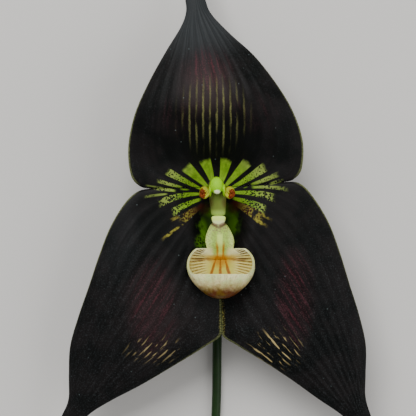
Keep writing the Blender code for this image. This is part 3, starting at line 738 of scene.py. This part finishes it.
def callus_material():
    """White-green block with painted mauve shade along its lower edge."""
    paint = Paint("callus_skin", 0.36)
    colour = paint.mix(paint.step(paint.y, -6.2, -6.8), rgb(colours().lip_white), CALLUS_PALE)
    # Painted shade along the block's lower edge, where it meets the base.
    lower = paint.y + 7.5 - abs(paint.x - 0.3) * 0.4
    crease = paint.step(lower + (paint.noise(1.4, 2) - 0.5) * 0.4, 0.42, 0.05)
    colour = paint.mix(crease * 0.8, colour, CALLUS_EDGE_SHADE)
    return pearly(paint).finish(colour)


def column_material():
    """Lime head over a dull pale green foot, with painted brownish shade at the foot's sides."""
    c = colours()
    paint = Paint("column_skin", 0.55)
    cloud = paint.noise(1.0, 3)
    # The lime above and the duller green below are partly the column's own colours and partly
    # painted light and shade: the head stands out into the light, the foot lies in shade under it.
    high = paint.step(paint.z + (cloud - 0.5) * 0.5, 3.0, 5.0)
    foot = paint.mix(paint.step(paint.y, -4.0, -5.0), rgb(c.foot_green), FOOT_PALE)
    # Painted shade: brownish patches at the foot's sides, where it curves away from the light.
    brown = paint.patch(-1.4, -2.9, 1.0, 1.4) + paint.patch(1.6, -2.9, 1.0, 1.4)
    foot = paint.mix(brown * 0.6, foot, FOOT_SIDE_SHADE)
    colour = paint.mix(high, foot, rgb(c.column_green))
    wing = paint.step(abs(paint.x), 1.25, 1.6) * high
    colour = paint.mix(wing * 0.7, colour, WING_YELLOW)
    return pearly(paint).finish(colour, cloud, 0.03)


def cap_material():
    """Cream lid whose edges take the head's green."""
    c = colours()
    paint = Paint("cap_skin", 0.3)
    middle = paint.patch(CAP_AT[0], CAP_AT[1] - 0.1, 0.95, 0.75)
    return paint.finish(paint.mix(middle, rgb(c.column_green), rgb(c.cap_cream)))


def petal_material():
    """Brown warty tip with a yellow rim on a yellow-green stalk."""
    c = colours()
    paint = Paint("petal_skin", 0.5)
    blotch = paint.noise(1.3, 3)
    share = paint.attribute("share") + (blotch - 0.5) * 0.06
    warts = paint.dots(2.2)
    high = paint.step(share, 0.8, 0.9)
    across = (abs(paint.x) - 3.3) / 1.2
    up = (paint.y + 1.35) / 1.3
    spot = (across * across + up * up) ** 0.5 + (blotch - 0.5) * 1.7
    colour = paint.mix(paint.step(share, 0.5, 0.8), PETAL_STALK_GREEN, rgb(c.petal_yellow))
    colour = paint.mix(high * paint.step(spot, 1.0, 1.25), colour, PETAL_RING)
    brown = high * paint.step(spot, 1.02, 0.82)
    colour = paint.mix(brown, colour, rgb(c.petal_brown))
    colour = paint.mix(brown * paint.step(warts, 0.35, 0.2) * 0.5, colour, WART_ORANGE)
    return pearly(paint).finish(colour, warts, 0.08)


def stalk_material():
    """Dark green stalk with purple freckles."""
    c = colours()
    paint = Paint("stalk_skin", 0.4)
    cloud = paint.noise(0.35, 3)
    freckle = paint.step(paint.noise(2.4, 2), 0.58, 0.66)
    colour = paint.mix(cloud, rgb(c.stem_green), STALK_LIGHT)
    colour = paint.mix(freckle * 0.3, colour, STALK_FRECKLE)
    paint.shader.inputs["Specular IOR Level"].default_value = 0.25
    return paint.finish(colour, paint.noise(3, 2), 0.05)


def bract_material():
    """Papery dull green and tan, with dark lines along it."""
    c = colours()
    paint = Paint("bract_skin", 0.7)
    cloud = paint.noise(0.8, 3)
    round_turn = paint.x.math("ARCTAN2", paint.x - 0.1, paint.z + 9.9)
    line = (round_turn * 14 + (cloud - 0.5) * 2).cosine()
    colour = paint.mix(cloud, rgb(c.bract_tan), BRACT_GREEN)
    colour = paint.mix(paint.step(line, 0.5, 1) * 0.5, colour, BRACT_LINE)
    return paint.finish(colour, line + cloud, 0.06)


def plain_material(name, colour, roughness):
    paint = Paint(name, roughness)
    return paint.finish((*colour, 1))


# Shapes


def add_object(name, data, *materials):
    """A named object at the origin, with its materials."""
    made = bpy.data.objects.new(name, data)
    for material in materials:
        made.data.materials.append(material)
    bpy.context.scene.collection.objects.link(made)
    return made


def move_points(shape, places):
    """Puts the bmesh's vertices at places, given in millimetres from the middle of the bloom."""
    for vertex, place in zip(shape.verts, (places + BLOOM_AT) * MM):
        vertex.co = place


def mesh_object(name, shape, *materials, turn_out=True):
    """The finished bmesh as a smooth shaded object."""
    if turn_out:
        bmesh.ops.recalc_face_normals(shape, faces=shape.faces)
    mesh = bpy.data.meshes.new(name)
    shape.to_mesh(mesh)
    shape.free()
    mesh.shade_smooth()
    return add_object(name, mesh, *materials)


def keep_number(made, name, values):
    """Keeps one number for each vertex, so that the paint can read it."""
    made.data.attributes.new(name, "FLOAT", "POINT").data.foreach_set("value", values)


def shaped_ball(name, place, segments, rings, *materials):
    """A sphere whose points are moved by place, a function of their directions."""
    shape = bmesh.new()
    bmesh.ops.create_uvsphere(shape, u_segments=segments, v_segments=rings, radius=1)
    directions = np.array([vertex.co for vertex in shape.verts])
    move_points(shape, place(directions))
    made = mesh_object(name, shape, *materials)
    keep_number(made, "share", (1 + directions[:, 2]) / 2)
    return made


def tube(name, path, radii, section, *materials, per_span=16, capped=True):
    """A stalk along a smooth path. The section gives its radius for turns round it."""
    shape = bmesh.new()
    bmesh.ops.create_grid(shape, x_segments=TUBE_SIDES, y_segments=(len(path) - 1) * per_span,
                          size=1)
    flat = np.array([vertex.co for vertex in shape.verts])
    turn, share = math.pi * (flat[:, :1] + 1), (flat[:, 1] + 1) / 2
    line = curve_through(path)
    ahead = line(np.minimum(share + 0.01, 1)) - line(np.maximum(share - 0.01, 0))
    side = np.cross(ahead, (1, 0, 0))
    side /= np.linalg.norm(side, axis=1, keepdims=True)
    size = np.interp(share, np.linspace(0, 1, len(radii)), radii)[:, None] * section(turn)
    out = side * np.cos(turn) + np.array((1, 0, 0)) * np.sin(turn)
    move_points(shape, line(share) + out * size)
    bmesh.ops.remove_doubles(shape, verts=shape.verts, dist=MERGE_DISTANCE)
    if capped:
        bmesh.ops.holes_fill(shape, edges=[edge for edge in shape.edges if edge.is_boundary])
    return mesh_object(name, shape, *materials)


def round_section(turn):
    return 1.0


def flat_section(turn):
    """Wider across the bloom than deep."""
    return 1 / np.hypot(np.cos(turn) / FOOT_FLATNESS, np.sin(turn))


def ribbed_section(turn):
    return 1 + OVARY_RIB_SHARE * np.cos(OVARY_RIBS * turn)


def add_modifier(made, name, kind, **settings):
    modifier = made.modifiers.new(name, kind)
    for key, value in settings.items():
        setattr(modifier, key, value)


def applied(made):
    """Makes the object's modifiers part of its mesh."""
    graph = bpy.context.evaluated_depsgraph_get()
    mesh = bpy.data.meshes.new_from_object(made.evaluated_get(graph))
    made.modifiers.clear()
    made.data = mesh


def merge(made, *others):
    """Adds the others' meshes to the first object's and removes them."""
    shape = bmesh.new()
    for piece in (made, *others):
        shape.from_mesh(piece.data)
    shape.to_mesh(made.data)
    shape.free()
    for piece in others:
        bpy.data.objects.remove(piece)


def put_in_frame(made, node):
    """Hangs the piece under the root and hides the frame's part that it stands for."""
    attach(made, "root")
    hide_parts(node)


# Sepals


def cup_height(x, y):
    """Height of the sepals' face over the middle of the bloom, before each sepal's own droop."""
    radius = np.hypot(x, y)
    cup = CUP_RISE * smooth(radius, *CUP_RADII)
    pit_x = (x - PIT_CENTRE[0]) / PIT_HALF_WIDTH
    pit_y = (y - PIT_CENTRE[1]) / PIT_HALF_LENGTH
    pit = PIT_DEPTH * np.exp(-((pit_x**2 + pit_y**2) ** 1.6))
    valley = VALLEY_DEPTH * np.exp(-((x - 0.6) / VALLEY_HALF_WIDTH) ** 2) * smooth(-y, 9, 15)
    hood = HOOD_RISE * smooth(y, 4, 17) * (1 - smooth(y, 17, 36))
    hood = hood * (1 - 0.6 * np.clip(np.abs(x) / HOOD_HALF_WIDTH, 0, 1) ** 2)
    return cup - pit - valley + hood


class Sepal:
    """One sepal's face: a blade between two margins that fan out from the middle of the bloom,
    and a slender tail. Left and right are as seen from the middle, looking towards the tail."""

    def __init__(self, midrib, left_margin, right_margin, free_from, tail):
        self.midrib = curve_through(midrib)
        self.margins = (curve_through(left_margin), curve_through(right_margin))
        self.free_from = free_from  # share of each margin where it leaves its neighbour's
        root = cup_height(*midrib[-1]) - BLADE_DROOP * smooth(1.0, 0.45, 1.2)
        self.tail = curve_through([(*midrib[-1], root), *tail])

    def blade_plan(self, across, share):
        """Plan places on the blade, for shares of its length from the hole round the column."""
        mid = self.midrib(share, CUP_HOLE_RADIUS)
        reach = np.abs(across)[:, None]
        sides = [self.guide(margin, share, reach) for margin in self.margins]
        side = np.where((across < 0)[:, None], *sides)
        out = side - mid
        width = np.linalg.norm(out, axis=1, keepdims=True)
        chord = mid + out * (1 - SEAM_GAP / 2 / np.maximum(width, SEAM_GAP)) * reach
        bulge = np.linalg.norm(mid, axis=1) * (1 - smooth(share, 0.12, 0.5)) * reach[:, 0]
        outward = chord / np.maximum(np.linalg.norm(chord, axis=1, keepdims=True), TINY)
        return chord + outward * (0.9 * bulge * (1 - reach[:, 0]))[:, None]

    def guide(self, margin, share, reach):
        """The line that the veins follow: the margin itself at the edge, rounder further in."""
        nearby = [margin(np.clip(share + shift, 0, 1), CUP_HOLE_RADIUS)
                  for shift in np.linspace(-GUIDE_SPAN, GUIDE_SPAN, 9)]
        true = margin(share, CUP_HOLE_RADIUS)
        ends = smooth(share, 0.05, 0.3) * (1 - smooth(share, 0.75, 1))
        rounded = true + (np.mean(nearby, axis=0) - true) * ends[:, None]
        return rounded + (true - rounded) * reach**5

    def tail_plan_at(self, across, share):
        """Plan places on the tail, for shares of its own length."""
        step = 0.01
        place = self.tail(share)[:, :2]
        heading = (self.tail(share + step) - self.tail(share - step))[:, :2]
        heading /= np.linalg.norm(heading, axis=1, keepdims=True)
        root = np.linalg.norm(self.margins[0](1.0) - self.margins[1](1.0)) / 2
        half = TAIL_HALF_WIDTH + (root - TAIL_HALF_WIDTH) * (1 - smooth(share, -0.12, 0.3)) / (
            1 - smooth(0, -0.12, 0.3))
        half = half + (TAIL_TIP_HALF_WIDTH - TAIL_HALF_WIDTH) * smooth(share, 0.85, 1)
        sideways = np.stack([heading[:, 1], -heading[:, 0]], axis=1)
        return place + sideways * (half * across)[:, None]

    def heights(self, across, along, plan, vein_height):
        """Heights of the face: the common cup, this sepal's droop and falling margins, its
        veins, and the tail's way down to the surface."""
        share = np.clip(along / BLADE_SHARE, 0, 1)
        tail_share = np.clip((along - BLADE_SHARE) / (1 - BLADE_SHARE), 0, 1)
        side_free = np.where(across < 0, self.free_from[0], self.free_from[1])
        droop = BLADE_DROOP * smooth(share, 0.45, 1.2)
        fall = MARGIN_FALL * np.abs(across) ** 4 * smooth(share, side_free, side_free + 0.2)
        crease = SEAM_CREASE * np.abs(across) ** 40
        crease = crease * (1 - smooth(share, side_free, side_free + 0.05))
        blade = cup_height(plan[:, 0], plan[:, 1]) - droop - fall - crease
        mid = self.midrib(share, CUP_HOLE_RADIUS)
        mid_height = cup_height(mid[:, 0], mid[:, 1]) - droop
        line = np.where(along < BLADE_SHARE, mid_height, self.tail(tail_share)[:, 2])
        to_tail = smooth(along, BLADE_SHARE - 0.16, BLADE_SHARE + 0.02)
        arch = TAIL_ARCH * to_tail * (1 - across**2)
        veins = vein_height * np.cos(math.pi * VEINS_ACROSS * across)
        veins = veins * smooth(share, 0.1, 0.3) * (1 - smooth(share, 0.8, 1)) * (1 - across**6)
        ripple = RIPPLE_HEIGHT * np.sin(along * RIPPLE_TURNS + across * 2.2) * across**2
        ripple = ripple * smooth(share, 0.2, 0.5) * (1 - to_tail)
        return blade * (1 - to_tail) + line * to_tail + arch + veins + ripple

    def place(self, across, along, vein_height):
        """Places on the face, for across from -1 to 1 and along from 0 at the cup to 1."""
        share = np.clip(along / BLADE_SHARE, 0, 1)
        tail_share = np.clip((along - BLADE_SHARE) / (1 - BLADE_SHARE), 0, 1)
        blade = self.blade_plan(across, share)
        distance = np.linalg.norm(blade, axis=1, keepdims=True)
        blade = blade * np.maximum(1, CUP_HOLE_RADIUS / np.maximum(distance, TINY))
        tail = self.tail_plan_at(across, tail_share)
        plan = np.where((along < BLADE_SHARE)[:, None], blade, tail)
        return np.column_stack([plan, self.heights(across, along, plan, vein_height)])


LEFT_SEAM = [(0, 0), (-5, 0.05), (-10, -0.05), (-13.2, -0.12)]
RIGHT_SEAM = [(0, 0), (5, 0.35), (10, 0.8), (13.2, 1.15)]
MIDDLE_SEAM = [(0, 0), (0.2, -7.5), (0.4, -15), (0.7, -22.5), (0.9, -27)]

SEPALS = {
    "dorsal_sepal": Sepal(
        midrib=[(0, 0), (0, 9), (-0.6, 18), (-2.2, 27), (-3.8, 33.5), (-4.4, 38)],
        left_margin=[*LEFT_SEAM, (-15.4, 0.35), (-17.2, 2.6), (-17.7, 8.2), (-16.4, 14.6),
                     (-13.6, 21), (-10.2, 27.3), (-7.2, 32.4), (-6.2, 35.4), (-6.4, 38)],
        right_margin=[*RIGHT_SEAM, (15.3, 1.75), (16.9, 3.9), (17.1, 9.2), (15.3, 14.8),
                      (12.1, 20.3), (7.6, 26.2), (2.6, 30.9), (-1.2, 35), (-2.4, 38)],
        free_from=(0.3, 0.3),
        tail=[(-5.0, 46, -5.4), (-5.3, 54, -9.4), (-4.2, 64, -11.12), (-0.6, 74.5, -11.12),
              (5.5, 84, -10.8)]),
    "left_sepal": Sepal(
        midrib=[(0, 0), (-7.5, -10), (-14.5, -20.5), (-21, -31), (-26.3, -40.5), (-29.5, -46.9)],
        left_margin=[*MIDDLE_SEAM, (0.65, -29.6), (-2.6, -31.8), (-8.6, -35.5), (-15, -39.3),
                     (-21.4, -42.7), (-25.4, -45.2), (-27.7, -47.8)],
        right_margin=[*LEFT_SEAM, (-15.9, -0.75), (-18.5, -3.2), (-21.4, -8), (-23.6, -13.6),
                      (-25.6, -19.6), (-27.7, -25.6), (-29.4, -31.6), (-29.7, -37.4),
                      (-29.8, -42.4), (-31.3, -46.0)],
        free_from=(0.47, 0.26),
        tail=[(-32.8, -53.8, -5.6), (-35.8, -61.6, -9.5), (-37.2, -71.4, -11.12),
              (-35.4, -81.4, -11.12), (-31, -90.5, -10.8)]),
    "right_sepal": Sepal(
        midrib=[(0, 0), (8, -9.8), (15.2, -20), (21.2, -30.4), (26.2, -40.5), (29.2, -47.0)],
        left_margin=[*RIGHT_SEAM, (16.4, 0.95), (19.1, -1.7), (22.3, -6.9), (24.6, -13.0),
                     (26.5, -19.2), (28.4, -25.2), (29.8, -31.4), (29.8, -37.4),
                     (29.8, -42.0), (31.0, -46.1)],
        right_margin=[*MIDDLE_SEAM, (1.15, -29.6), (3.8, -31.3), (9.2, -34.6), (14.8, -38.3),
                      (20.2, -42.2), (24.6, -45.2), (27.4, -47.9)],
        free_from=(0.26, 0.47),
        tail=[(32.2, -54, -5.6), (35.4, -61.8, -9.5), (39.8, -71.4, -11.12),
              (45.6, -80, -11.12), (52.6, -87, -10.8)]),
}


def add_sepal(name, sepal, face, back):
    """A sepal as a grid moved onto its face and thickened on its back."""
    shape = bmesh.new()
    bmesh.ops.create_grid(shape, x_segments=SEPAL_COLUMNS, y_segments=SEPAL_ROWS, size=1)
    flat = np.array([vertex.co for vertex in shape.verts])
    across, along = flat[:, 0], (flat[:, 1] + 1) / 2
    move_points(shape, sepal.place(across, along, sizes().vein_height / MM))
    made = mesh_object(name, shape, face, back, turn_out=False)
    corners = np.empty(len(made.data.loops), int)
    made.data.loops.foreach_get("vertex_index", corners)
    places = np.column_stack([(across[corners] + 1) / 2, along[corners]])
    made.data.uv_layers.new(name="blade").data.foreach_set("uv", places.ravel())
    middle, edge = sizes().blade_thickness / MM, sizes().edge_thickness / MM
    blade = edge + (middle - edge) * (1 - np.abs(across) ** 5)
    wanted = blade + (TAIL_THICKNESS - blade) * smooth(along, BLADE_SHARE - 0.05,
                                                       BLADE_SHARE + 0.08)
    group = made.vertex_groups.new(name="thickness")
    for index, weight in enumerate(wanted / TAIL_THICKNESS):
        group.add([index], float(weight), "REPLACE")
    add_modifier(made, "thickness", "SOLIDIFY", thickness=TAIL_THICKNESS * MM, offset=-1,
                 vertex_group="thickness", material_offset=1, material_offset_rim=1)
    put_in_frame(made, name)


class AddSepals(bpy.types.Operator):
    """Add the three sepals with their tails"""

    bl_idname = "orchid.add_sepals"
    bl_label = "Add Sepals"

    def execute(self, context):
        face, back = sepal_face_material(), sepal_back_material()
        for name, sepal in SEPALS.items():
            add_sepal(name, sepal, face, back)
        return {"FINISHED"}


# Column and petals


class AddColumn(bpy.types.Operator):
    """Add the column with its foot and its anther cap"""

    bl_idname = "orchid.add_column"
    bl_label = "Add Column"

    def execute(self, context):
        skin = column_material()
        curve = curve_through(COLUMN_PROFILE[1:-1])
        profile = [COLUMN_PROFILE[0], *curve(np.linspace(0, 1, 30)), COLUMN_PROFILE[-1]]
        shape = bmesh.new()
        verts = [shape.verts.new((r * MM, 0, z * MM)) for r, z in profile]
        edges = [shape.edges.new(pair) for pair in zip(verts, verts[1:])]
        bmesh.ops.spin(shape, geom=verts + edges, cent=(0, 0, 0), axis=(0, 0, 1), dvec=(0, 0, 0),
                       angle=2 * math.pi, steps=48, use_merge=True)
        bmesh.ops.remove_doubles(shape, verts=shape.verts, dist=MERGE_DISTANCE)
        places = np.array([vertex.co for vertex in shape.verts]) / MM
        places[:, 0] *= 1 - HEAD_PINCH * smooth(places[:, 2], 2, 4.5)
        move_points(shape, places + COLUMN_AT)
        post = mesh_object("column", shape, skin)
        foot = tube("foot", FOOT_PATH, FOOT_RADII, flat_section)
        wings = [shaped_ball("wing", lambda way, at=at: way * np.array(WING_SIZE) + at, 24, 16)
                 for at in (WING_AT, WING_AT * np.array((-1, 1, 1)))]
        merge(post, foot, *wings)
        add_modifier(post, "blend", "REMESH", mode="VOXEL", voxel_size=COLUMN_VOXEL * MM,
                     use_smooth_shade=True)
        add_modifier(post, "soften", "SMOOTH", factor=0.5, iterations=5)
        applied(post)
        post.data.materials.clear()
        post.data.materials.append(skin)
        post.data.shade_smooth()
        put_in_frame(post, "column")
        cap = shaped_ball("anther_cap", lambda way: way * np.array(CAP_SIZE) + CAP_AT, 32, 20,
                          cap_material())
        put_in_frame(cap, "anther_cap")
        return {"FINISHED"}


def add_petal(name, side, skin):
    """A small stiff petal beside the column. Its tip is two valves with warts between them."""
    warts_high = sizes().wart_height / MM

    def place(directions):
        share = (1 + directions[:, 2]) / 2
        turn = np.arctan2(directions[:, 1], directions[:, 0])
        ring = np.sqrt(np.maximum(0, 1 - directions[:, 2] ** 2)) ** 0.6
        growth = smooth(share, 0.3, 0.9)
        x = ring * (PETAL_STALK_RADIUS + PETAL_TIP_GROWTH[0] * growth) * np.cos(turn)
        y = ring * (PETAL_STALK_RADIUS + PETAL_TIP_GROWTH[1] * growth) * np.sin(turn)
        x = x * (1 + 0.14 * np.cos(3 * turn + 0.7) * smooth(share, 0.6, 1))
        cleft = PETAL_CLEFT_DEPTH * smooth(share, 0.86, 1.0)
        cleft = cleft * np.exp(-(y / PETAL_CLEFT_HALF_WIDTH) ** 2)
        warts = np.cos(x * WART_TURNS + y) * np.cos(y * WART_TURNS - x)
        warts = warts_high * warts * smooth(share, 0.86, 0.96)
        lean = share**1.3
        return np.column_stack([
            side * (PETAL_BASE[0] + PETAL_SPREAD[0] * lean) + x,
            PETAL_BASE[1] + PETAL_SPREAD[1] * lean + y,
            PETAL_BASE[2] + share * PETAL_LENGTH - cleft + warts])

    made = shaped_ball(name, place, 72, 90, skin)
    put_in_frame(made, name)


class AddPetals(bpy.types.Operator):
    """Add the two small petals beside the column"""

    bl_idname = "orchid.add_petals"
    bl_label = "Add Petals"

    def execute(self, context):
        skin = petal_material()
        add_petal("left_petal", -1, skin)
        add_petal("right_petal", 1, skin)
        return {"FINISHED"}


# Lip


def pouch_girth(polar):
    """Girth of the pouch for turns up from its point in radians, as a share of its widest."""
    return np.where(polar > math.pi / 2, 1 - POUCH_CLOSE * (1 - np.sin(polar)),
                    curve_like(np.degrees(polar), POUCH_TURNS, POUCH_GIRTHS))


def pouch_wall_height(x, y):
    """Height of the pouch's back wall, where the lip's base runs into it."""
    girth = pouch_girth(np.arccos(np.clip((POUCH_AT[1] - y) / POUCH_HALF_SIZE[1], -1, 1)))
    share = np.clip((x - POUCH_AT[0]) / POUCH_HALF_SIZE[0] / girth, -0.97, 0.97)
    depth = POUCH_HALF_SIZE[2] * girth - POUCH_WALL / 2
    return POUCH_AT[2] - depth * np.sqrt(1 - share**2)


def lip_base_place(directions):
    """The lip's narrow base, a thick vase shape with a ridge down its middle. Its lower end
    spreads over the pouch's back wall."""
    share = (1 - directions[:, 2]) / 2
    y = BASE_STATIONS[0] + (BASE_STATIONS[-1] - BASE_STATIONS[0]) * share
    half = curve_like(-y, -np.array(BASE_STATIONS), BASE_HALF_WIDTHS)
    turn = np.arctan2(directions[:, 1], directions[:, 0])
    ring = np.sqrt(np.maximum(0, 1 - directions[:, 2] ** 2))
    cap = ring**0.4
    middle = 0.3 + 0.46 * share
    x = middle + half * np.cos(turn) * cap
    ridge = BASE_RIDGE * np.exp(-((x - middle) / BASE_RIDGE_HALF_WIDTH) ** 2) * cap
    ridge = ridge * (np.sin(turn) > 0)
    height = BASE_HEIGHTS[0] + (BASE_HEIGHTS[1] - BASE_HEIGHTS[0]) * share
    upper = height + BASE_HALF_DEPTH * np.sin(turn) * cap + ridge
    flat = np.sign(np.sin(turn)) * np.abs(np.sin(turn)) ** 0.6
    over, thick = BASE_OVER_WALL
    lower = pouch_wall_height(x, y) + over + thick * flat * np.minimum(1, ring * 1.5)
    return np.column_stack([x, y, upper + (lower - upper) * smooth(share, 0.5, 0.85)])


def curve_like(value, stations, heights):
    """Smooth interpolation of a few stations."""
    path = curve_through(list(zip(stations, heights)))(np.linspace(0, 1, 200))
    return np.interp(value, path[:, 0], path[:, 1])


def pouch_rim_height(turn):
    """Height of the pouch's rim over its middle, for turns from the front (0) to the back."""
    ear = POUCH_EAR_RISE * smooth(np.abs(turn), math.radians(55), math.radians(122))
    return POUCH_FRONT_RIM + ear - 0.6 * smooth(np.abs(turn), math.radians(145), math.pi)


def add_pouch():
    """The lip's pouch: a thin bowl that opens towards the column, with keels fanned inside."""
    shape = bmesh.new()
    bmesh.ops.create_uvsphere(shape, u_segments=POUCH_SEGMENTS, v_segments=POUCH_RINGS, radius=1)
    top = max(shape.verts, key=lambda vertex: vertex.co.z)
    bmesh.ops.delete(shape, geom=[top], context="VERTS")
    directions = np.array([vertex.co for vertex in shape.verts])
    turn = np.arctan2(directions[:, 0], directions[:, 1])
    polar = np.arccos(np.clip(-directions[:, 2], -1, 1)) / (math.pi - math.pi / POUCH_RINGS)
    polar = polar * np.arccos(np.clip(-pouch_rim_height(turn) / POUCH_HALF_SIZE[1], -1, 1))
    girth = pouch_girth(polar) * (1 + POUCH_LUMPS * np.cos(4 * turn + 3 * polar))
    x = POUCH_HALF_SIZE[0] * np.sin(turn) * girth
    y = -POUCH_HALF_SIZE[1] * np.cos(polar)
    z = POUCH_HALF_SIZE[2] * np.cos(turn) * girth
    move_points(shape, np.column_stack([x, y, z]) + np.array(POUCH_AT))
    bmesh.ops.remove_doubles(shape, verts=shape.verts, dist=POUCH_MERGE_DISTANCE)
    pouch = mesh_object("lip_pouch", shape, pouch_outside_material(), pouch_inside_material(),
                        pouch_rim_material())
    add_modifier(pouch, "wall", "SOLIDIFY", thickness=POUCH_WALL * MM, offset=-1,
                 material_offset=INSIDE_SLOT, material_offset_rim=RIM_SLOT)
    applied(pouch)
    finish_pouch(pouch.data)
    put_in_frame(pouch, "lip")


def finish_pouch(mesh):
    """Rounds the pouch's rim and raises the keels on the inside of its ears."""
    shape = bmesh.new()
    shape.from_mesh(mesh)
    corners = [edge for edge in shape.edges
               if sorted(face.material_index == RIM_SLOT for face in edge.link_faces)
               == [False, True]]
    rounded = bmesh.ops.bevel(shape, geom=corners, offset=POUCH_RIM_BEVEL * MM,
                              offset_type="OFFSET", segments=2, profile=0.5, affect="EDGES",
                              clamp_overlap=True, material=-1)
    for face in rounded["faces"]:
        face.material_index = RIM_SLOT
    inner = [vertex for vertex in shape.verts
             if any(face.material_index == INSIDE_SLOT for face in vertex.link_faces)]
    places = np.array([vertex.co for vertex in inner]) / MM - BLOOM_AT
    across, _, depth = (places - np.array(POUCH_AT)).T / np.array(POUCH_HALF_SIZE)[:, None]
    away, up = np.abs(places[:, 0] - KEEL_ROOT[0]), places[:, 1] - KEEL_ROOT[1]
    back_wall = smooth(-depth / np.maximum(np.hypot(across, depth), TINY), 0.1, 0.5)
    high = smooth(up, -KEELS_TURN, KEELS_TURN)
    wave = np.cos(keel_phase(np.maximum(away, KEELS_FROM[0]), up, high))
    for vertex, lift in zip(inner, KEEL_HEIGHT * wave * back_wall * smooth(away, *KEELS_FROM)):
        vertex.co.z += lift * MM
    shape.to_mesh(mesh)
    shape.free()
    mesh.shade_smooth()


class AddLip(bpy.types.Operator):
    """Add the lip: its callus, its narrow base and its pouch"""

    bl_idname = "orchid.add_lip"
    bl_label = "Add Lip"

    def execute(self, context):
        skin = lip_base_material()
        base = shaped_ball("lip_base", lip_base_place, 64, 96, skin)
        put_in_frame(base, "lip")

        def callus_place(way):
            block = np.sign(way) * np.abs(way) ** 0.6
            block[:, 0] *= 0.88 + 0.2 * block[:, 1]
            block[:, 2] += 0.2 * block[:, 0] ** 2 - 0.12
            return block * np.array(CALLUS_SIZE) + np.array(CALLUS_AT)

        callus = shaped_ball("lip_callus", callus_place, 40, 28, callus_material())
        put_in_frame(callus, "lip")
        add_pouch()
        return {"FINISHED"}


# Stalk


class AddStalk(bpy.types.Operator):
    """Add the ovary, its bract and the cut stem"""

    bl_idname = "orchid.add_stalk"
    bl_label = "Add Stalk"

    def execute(self, context):
        skin = stalk_material()
        ovary = tube("ovary", OVARY_PATH, OVARY_RADII, ribbed_section, skin)
        put_in_frame(ovary, "ovary")
        radius = sizes().stem_radius / MM
        stem = tube("stem", STEM_PATH, (radius,) * 5, round_section, skin)
        put_in_frame(stem, "stem")
        bract = tube("floral_bract", BRACT_PATH, BRACT_RADII, round_section, bract_material(),
                     capped=False)
        add_modifier(bract, "wall", "SOLIDIFY", thickness=BRACT_WALL * MM, offset=-1)
        put_in_frame(bract, "floral_bract")
        return {"FINISHED"}


# Stage


def add_light(name, place, power, size):
    """A soft square light that points at the bloom."""
    light = bpy.data.lights.new(name, "AREA")
    light.energy = power
    light.size = size
    made = bpy.data.objects.new(name, light)
    made.location = place
    made.rotation_euler = Vector(place).to_track_quat("Z", "Y").to_euler()
    bpy.context.scene.collection.objects.link(made)


class AddStage(bpy.types.Operator):
    """Add the floor, the light and the camera"""

    bl_idname = "orchid.add_stage"
    bl_label = "Add Stage"

    def execute(self, context):
        shape = bmesh.new()
        bmesh.ops.create_grid(shape, x_segments=1, y_segments=1, size=FLOOR_HALF_SIZE)
        floor = mesh_object("floor", shape,
                            plain_material("floor_paint", rgb(colours().floor), 0.8))
        add_light("key", *KEY_LIGHT)
        add_light("fill", *FILL_LIGHT)
        world = bpy.data.worlds.new("studio")
        world.use_nodes = True
        sky = world.node_tree.nodes["Background"]
        sky.inputs["Color"].default_value = (1, 1, 1, 1)
        sky.inputs["Strength"].default_value = SKY_STRENGTH
        context.scene.world = world
        camera = bpy.data.cameras.new("camera")
        camera.sensor_width = SENSOR_WIDTH
        height = sizes().camera_height
        camera.lens = SENSOR_WIDTH * (height - BLOOM_AT[2] * MM) / (PICTURE_WIDTH * MM)
        camera.clip_start = 0.01
        camera.clip_end = 10
        made = bpy.data.objects.new("camera", camera)
        made.location = ((BLOOM_AT[0] + PICTURE_MIDDLE[0]) * MM,
                         (BLOOM_AT[1] + PICTURE_MIDDLE[1]) * MM, height)
        context.scene.collection.objects.link(made)
        context.scene.camera = made
        return {"FINISHED"}


class OrchidPanel(bpy.types.Panel):
    """Lists the bloom's pieces in the 3D view's sidebar."""

    bl_idname = "VIEW3D_PT_orchid"
    bl_label = "Orchid Bloom"
    bl_space_type = "VIEW_3D"
    bl_region_type = "UI"
    bl_category = "Orchid"

    def draw(self, context):
        for operator in OPERATORS:
            self.layout.operator(operator.bl_idname)
        for group in (context.scene.orchid_sizes, context.scene.orchid_colours):
            for name in group.bl_rna.properties.keys():
                if name not in ("rna_type", "name"):
                    self.layout.prop(group, name)


OPERATORS = (AddSepals, AddColumn, AddPetals, AddLip, AddStalk, AddStage)
CLASSES = (OrchidSizes, OrchidColours, *OPERATORS, OrchidPanel)


def register():
    for made in CLASSES:
        bpy.utils.register_class(made)
    bpy.types.Scene.orchid_sizes = bpy.props.PointerProperty(type=OrchidSizes)
    bpy.types.Scene.orchid_colours = bpy.props.PointerProperty(type=OrchidColours)


def unregister():
    del bpy.types.Scene.orchid_sizes
    del bpy.types.Scene.orchid_colours
    for made in reversed(CLASSES):
        bpy.utils.unregister_class(made)


def main():
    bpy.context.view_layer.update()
    register()
    bpy.ops.orchid.add_sepals()
    bpy.ops.orchid.add_column()
    bpy.ops.orchid.add_petals()
    bpy.ops.orchid.add_lip()
    bpy.ops.orchid.add_stalk()
    bpy.ops.orchid.add_stage()


if __name__ == "__main__":
    main()
